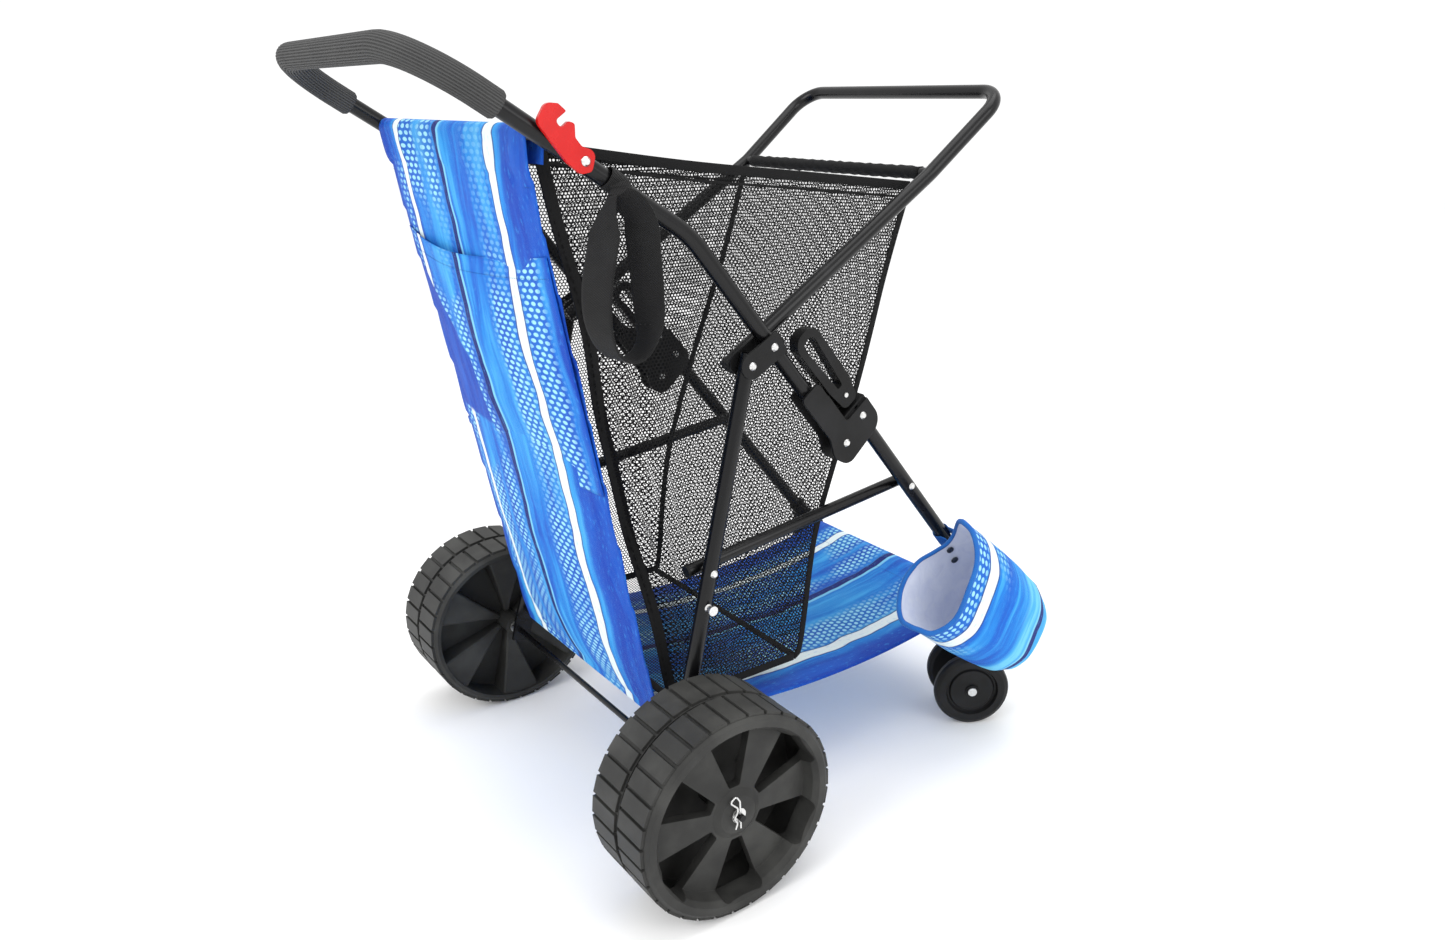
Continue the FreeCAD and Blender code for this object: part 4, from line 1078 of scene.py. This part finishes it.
def bind_tote(wall_x, tape, joined):
    for name, sign in (("right", 1), ("left", -1)):
        side = Vector((sign, 0, 0))

        def along_side(points, count):
            made = []
            for y, z in [(p.x, p.y) for p in even_line([Vector((a, b, 0)) for a, b in points], count)]:
                x = sign * (wall_x - float(side_bulge(np.array(y), np.array(z))))
                made.append(Vector((x, y + GROUND_Y, z)))
            return made

        rim = [(TOTE_REAR[0][0], 0.846), (0.08, 0.8215), (0.24, 0.804), (0.404, 0.786)]
        rim_line = along_side([(p.x, p.y) for p in smooth_line([Vector((a, b, 0)) for a, b in rim], 40)], 60)
        joined(ribbon(f"tote_rim_{name}", rim_line, side, 0.011, 0.0022, tape))
        low_rim = [point - Vector((0, 0, 0.0145)) for point in rim_line]
        joined(ribbon(f"tote_rim_stitch_{name}", low_rim, side, 0.0032, 0.0016, tape))
        rear_line = along_side([(a + 0.003, b) for a, b in TOTE_REAR], 70)
        joined(ribbon(f"tote_rear_seam_{name}", rear_line, side, 0.014, 0.0024, tape))
        front_line = along_side(smooth_side(TOTE_FRONT), 70)
        joined(ribbon(f"tote_front_seam_{name}", front_line, side, 0.008, 0.0022, tape))
        floor_line = along_side([(0.022, 0.1845), (0.208, 0.1845)], 24)
        joined(ribbon(f"tote_floor_seam_{name}", floor_line, side, 0.010, 0.0024, tape))
    for name, y in (("rear", 0.024), ("front", 0.210)):
        cross = [at(-wall_x * 1000 + 2 * wall_x * 1000 * step / 30, y * 1000, 185.0) for step in range(31)]
        joined(ribbon(f"tote_floor_seam_{name}", cross, Vector((0, 0, 1)), 0.010, 0.0024, tape))
    wrap = across_cart(wall_x, RIM_BAR.y, RIM_BAR.z, 48)
    skin = BAR_R + 0.0012

    def gathered(share, angle):
        puckers = noise.noise(Vector((share * 40, angle, 2)))
        return skin + 0.0006 * math.sin(angle * 3 + share * 190) + 0.0007 * puckers

    points, faces = swept(wrap, gathered, 24)
    sleeve = mesh_object("tote_rim_sleeve", points, faces, [tape])
    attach(sleeve, "hoop")


# Webbing strap -----------------------------------------------------------------------------------


def make_strap():
    """Webbing: a folded wrap round the tube and a long loop that hangs beside it, twisted at the top."""
    webbing = plain_cloth("webbing", (0.004, 0.004, 0.004), (0.030, 0.030, 0.031), 0.0024, 0.7, 0.0011, 0.03)
    route = [
        (at(246, -37, 800), Vector((-0.2, 0.97, 0))),
        (at(251, -20, 782), Vector((-0.5, 0.86, 0))),
        (at(254, -18, 745), Vector((-0.62, 0.78, 0))),
        (at(255, -17, 705), Vector((-0.65, 0.76, 0))),
        (at(255, -18, 668), Vector((-0.55, 0.8, -0.2))),
        (at(253, -28, 644), Vector((-0.2, 0.45, -0.87))),
        (at(251, -45, 637), Vector((0, 0, -1))),
        (at(250, -62, 648), Vector((0.25, -0.6, -0.75))),
        (at(249, -71, 676), Vector((0.4, -0.9, 0))),
        (at(249, -70, 712), Vector((0.45, -0.89, 0))),
        (at(249, -61, 750), Vector((0.5, -0.86, 0))),
        (at(247, -52, 782), Vector((0.3, -0.95, 0))),
        (at(245, -44, 800), Vector((0.1, -0.99, 0))),
    ]
    count = 120
    line = smooth_line([place for place, _ in route], count)
    facings = smooth_line([out for _, out in route], count)
    facings = [facing.normalized() for facing in facings]
    loop = ribbon("strap_loop", line, facings, 0.037, 0.0019, webbing)
    squeeze_ends(loop, count)
    tube_run = (at(225, -40, 817), at(225, -22, 805))
    wrap_axis = (tube_run[1] - tube_run[0]).normalized()
    out = wrap_axis.cross(Vector((1, 0, 0))).normalized()
    hub = (tube_run[0] + tube_run[1]) / 2
    ring = []
    for step in range(49):
        angle = 2 * math.pi * step / 48
        ring.append(hub + (Vector((1, 0, 0)) * math.cos(angle) + out * math.sin(angle)) * 0.0112)
    normals = [(point - hub).normalized() for point in ring]
    wrap = ribbon("strap_wrap", ring, normals, 0.021, 0.0018, webbing)
    tail = [hub + Vector((0.0112, 0, 0)), at(241, -32, 806), at(246, -38, 799)]
    tongue = ribbon("strap_tongue", smooth_line(tail, 14), Vector((0.3, -0.3, 0.9)), 0.021, 0.0034, webbing)
    for piece in (loop, wrap, tongue):
        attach(piece, "handle_frame")
    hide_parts("carry_strap")
    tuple(line[0])
    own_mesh(loop)
    total = line_length(line)
    thread = plain_cloth("strap_thread", (0.05, 0.05, 0.05), (0.1, 0.1, 0.1), 0.0012)
    across = (Vector((0.76, 0.65, 0))).normalized()
    facing = Vector((0.65, -0.76, 0))
    foot = at(255, -17.5, 672) + facing * 0.0016
    seam = stitches("strap_stitches", [foot - across * 0.016, foot + across * 0.016], facing, thread)
    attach(seam, "handle_frame")
    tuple(line[0])
    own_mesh(seam)


def squeeze_ends(piece, count):
    """Narrows the loop toward the tongue that holds its two ends."""
    mesh = piece.data
    ring = 8
    for index in range(count):
        first_half = index < count / 2
        near = min(index, count - 1 - index) / 16
        if near >= 1:
            continue
        narrowest = 0.86 if first_half else 0.45
        vertices = [mesh.vertices[index * ring + step] for step in range(ring)]
        hub = sum((vertex.co for vertex in vertices), Vector()) / ring
        share = narrowest + (1 - narrowest) * near * near * (3 - 2 * near)
        for vertex in vertices:
            vertex.co = hub + (vertex.co - hub) * Vector((share, share, 1))


# Bottle pouch ------------------------------------------------------------------------------------


def pouch_lining():
    graph = Graph("pouch_lining")
    place = graph.place()
    crinkle = graph.noise(place, 55, 4, 0.8)
    graph.bump(crinkle, 0.002, 0.5)
    colour = graph.mix(crinkle, (0.60, 0.66, 0.86, 1), (0.84, 0.88, 0.96, 1))
    return graph.settle(colour=colour, rough=graph.span(crinkle, 0.35, 0.55), sheen=0.2)


def make_pouch():
    """A padded bottle pouch: printed shell, pale lining, bound rim, and a peaked back flap with snaps."""
    mouth = at(296, 357, 303)
    axis = Vector((0, 0.81, -0.586)).normalized()
    lift = Vector((0, 0.586, 0.81)).normalized()
    side = Vector((1, 0, 0))
    stations = [(0.0, 0.054, 0.077), (0.06, 0.055, 0.078), (0.12, 0.055, 0.077)]
    stations += [(0.185, 0.050, 0.070), (0.222, 0.042, 0.057)]
    stations += [(0.238, 0.029, 0.041), (0.246, 0.010, 0.016)]
    count, rows = 96, 64
    reach = stations[-1][0]

    def ring_point(s, angle, inset):
        a = np.interp(s, [row[0] for row in stations], [row[1] for row in stations]) - inset
        b = np.interp(s, [row[0] for row in stations], [row[2] for row in stations]) - inset
        square = (abs(math.cos(angle)) ** 2.6 + abs(math.sin(angle)) ** 2.6) ** (-1 / 2.6)
        wrinkle = noise.noise(Vector((math.cos(angle) * 1.6, math.sin(angle) * 1.6, s * 16)))
        crease = noise.noise(Vector((math.cos(angle) * 4, math.sin(angle) * 4, s * 30 + 9)))
        soft = 1 + 0.030 * wrinkle * min(1.0, s / 0.03 + 0.3) + 0.012 * crease
        open_rim = 1 + 0.02 * max(0.0, 1 - s / 0.05)
        scale = min(square, 1.06) * soft * open_rim
        narrow = 1 - 0.16 * max(0.0, math.sin(angle)) ** 2 * max(0.0, 1 - s / 0.16)
        sag = 0.013 * s / 0.22
        return side * (a * scale * narrow * math.cos(angle)) + lift * (b * scale * math.sin(angle) - sag)

    def rim_start(angle):
        """How far the rim is cut back from the mouth, in metres, with a dip on three sides."""

        def dip(middle, width):
            apart = (math.degrees(angle) - middle + 180) % 360 - 180
            return math.exp(-((apart / width) ** 2))

        return 0.014 + 0.034 * dip(142, 30) + 0.012 * dip(-35, 34) - 0.014 * dip(80, 32)

    points, across, along = [], [], []
    for row in range(rows):
        for step in range(count):
            turn = 2 * math.pi * step / count
            angle = turn + math.pi
            begin = rim_start(angle)
            share = (row / (rows - 1)) ** 0.92
            s = begin + (reach - begin) * share
            points.append(mouth + axis * s + ring_point(max(s, 0.0), angle, 0.0))
            across.append(0.360 - 1.02 * (s - begin * 0.85))
            along.append(turn * 0.066)
    outer_count = len(points)
    for row in range(rows):
        for step in range(count):
            angle = 2 * math.pi * step / count + math.pi
            begin = rim_start(angle)
            share = (1 - row / (rows - 1)) ** 0.92
            s = begin + (reach - 0.006 - begin) * share
            points.append(mouth + axis * s + ring_point(max(s, 0.0), angle, 0.0045))
            across.append(0.0)
            along.append(0.0)
    faces = grid_faces(rows, count, wrap=True)
    inner = [tuple(index + outer_count for index in face) for face in grid_faces(rows, count, wrap=True)]
    outer_total = len(faces)
    faces += inner
    last_inner = outer_count + (rows - 1) * count
    for step in range(count):
        beside = (step + 1) % count
        faces.append((beside, step, last_inner + step, last_inner + beside))
    faces.append(tuple(range(outer_count - count, outer_count)))
    faces.append(tuple(reversed(range(outer_count, outer_count + count))))
    print_cloth = printed_cloth("pouch_print", True, (0.0086, 0.0092), pouch=True)
    shell = mesh_object("bottle_pouch_cloth", points, faces, [print_cloth, pouch_lining()])
    set_value(shell, "print_u", across)
    set_value(shell, "print_v", along)
    for index, polygon in enumerate(shell.data.polygons):
        polygon.material_index = 1 if outer_total <= index < outer_total + len(inner) else 0
    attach(shell, "front_legs")
    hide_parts("bottle_pouch")

    rim_cloth = plain_cloth("pouch_binding", (0.012, 0.10, 0.42), (0.03, 0.22, 0.62), 0.0011, 0.6)
    rim_line = [points[step] * 0.5 + points[last_inner + step] * 0.5 for step in range(count)]
    rim_line.append(rim_line[0])

    def binding_radius(_, angle):
        return 0.0032 + 0.0005 * math.cos(2 * angle)

    rim, rim_faces = swept(rim_line, binding_radius, 12, closed_ends=False)
    binding = mesh_object("pouch_rim_binding", rim, rim_faces, [rim_cloth])
    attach(binding, "front_legs")
    make_pouch_fittings(mouth, axis, lift, ring_point, rim_cloth)


# A snap's radius and height, from its rim to the dimple in its middle.
SNAP_PROFILE = ((0.0052, 0.0), (0.0052, 0.0012), (0.0034, 0.0019), (0.0024, 0.0012), (0.0004, 0.0010))


def make_pouch_fittings(mouth, axis, lift, ring_point, cloth):
    """Two snaps through the flap, and two loops that hold the pouch to the tube."""
    steel = steel_finish("snap_steel", (0.05, 0.06, 0.07), (0.10, 0.11, 0.13))
    for index, (s, degrees) in enumerate(((0.058, 144), (0.080, 150))):
        angle = math.radians(degrees)
        place = mouth + axis * s + ring_point(s, angle, 0.0055)
        out = -(Vector((math.cos(angle) / 0.054, 0, 0)) + lift * (math.sin(angle) / 0.077)).normalized()
        base = out.orthogonal().normalized()
        beside = out.cross(base)
        points = []
        for radius, height in SNAP_PROFILE:
            for step in range(20):
                turn = 2 * math.pi * step / 20
                points.append(place + (base * math.cos(turn) + beside * math.sin(turn)) * radius + out * height)
        faces = grid_faces(5, 20, wrap=True)
        faces.append(tuple(range(80, 100)))
        snap = mesh_object(f"pouch_snap_{index}", points, faces, [steel])
        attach(snap, "front_legs")
    low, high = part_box("front_tube_right")
    along = Vector((0, high.y - low.y, low.z - high.z)).normalized()
    up = Vector((0, low.y, high.z))
    for index, reach in enumerate((0.284, 0.326)):
        hub = Vector((RIGHT_X, up.y, up.z)) + along * reach
        other = along.cross(Vector((1, 0, 0))).normalized()
        ring = []
        for step in range(41):
            angle = math.radians(-38 + 256 * step / 40 + 90)
            radius = 0.0112
            ring.append(hub + (Vector((1, 0, 0)) * math.cos(angle) + other * math.sin(angle)) * radius)
        ring = [Vector((0.243, ring[0].y, ring[0].z)), *ring, Vector((0.243, ring[-1].y, ring[-1].z))]
        normals = [(point - hub).normalized() for point in ring]
        loop = ribbon(f"pouch_loop_{index}", ring, normals, 0.022, 0.0016, cloth)
        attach(loop, "front_legs")


# Making ------------------------------------------------------------------------------------------

add_floor()
add_lights()
dress_frame()
make_wheel_ribs()
make_foam_grip()
make_back_panel()
make_platform()
make_tote()
make_strap()
make_pouch()

boxes = {"cad": cad_box, "visual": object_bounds()}
plain = {name: [[float(value) for value in corner] for corner in box] for name, box in boxes.items()}
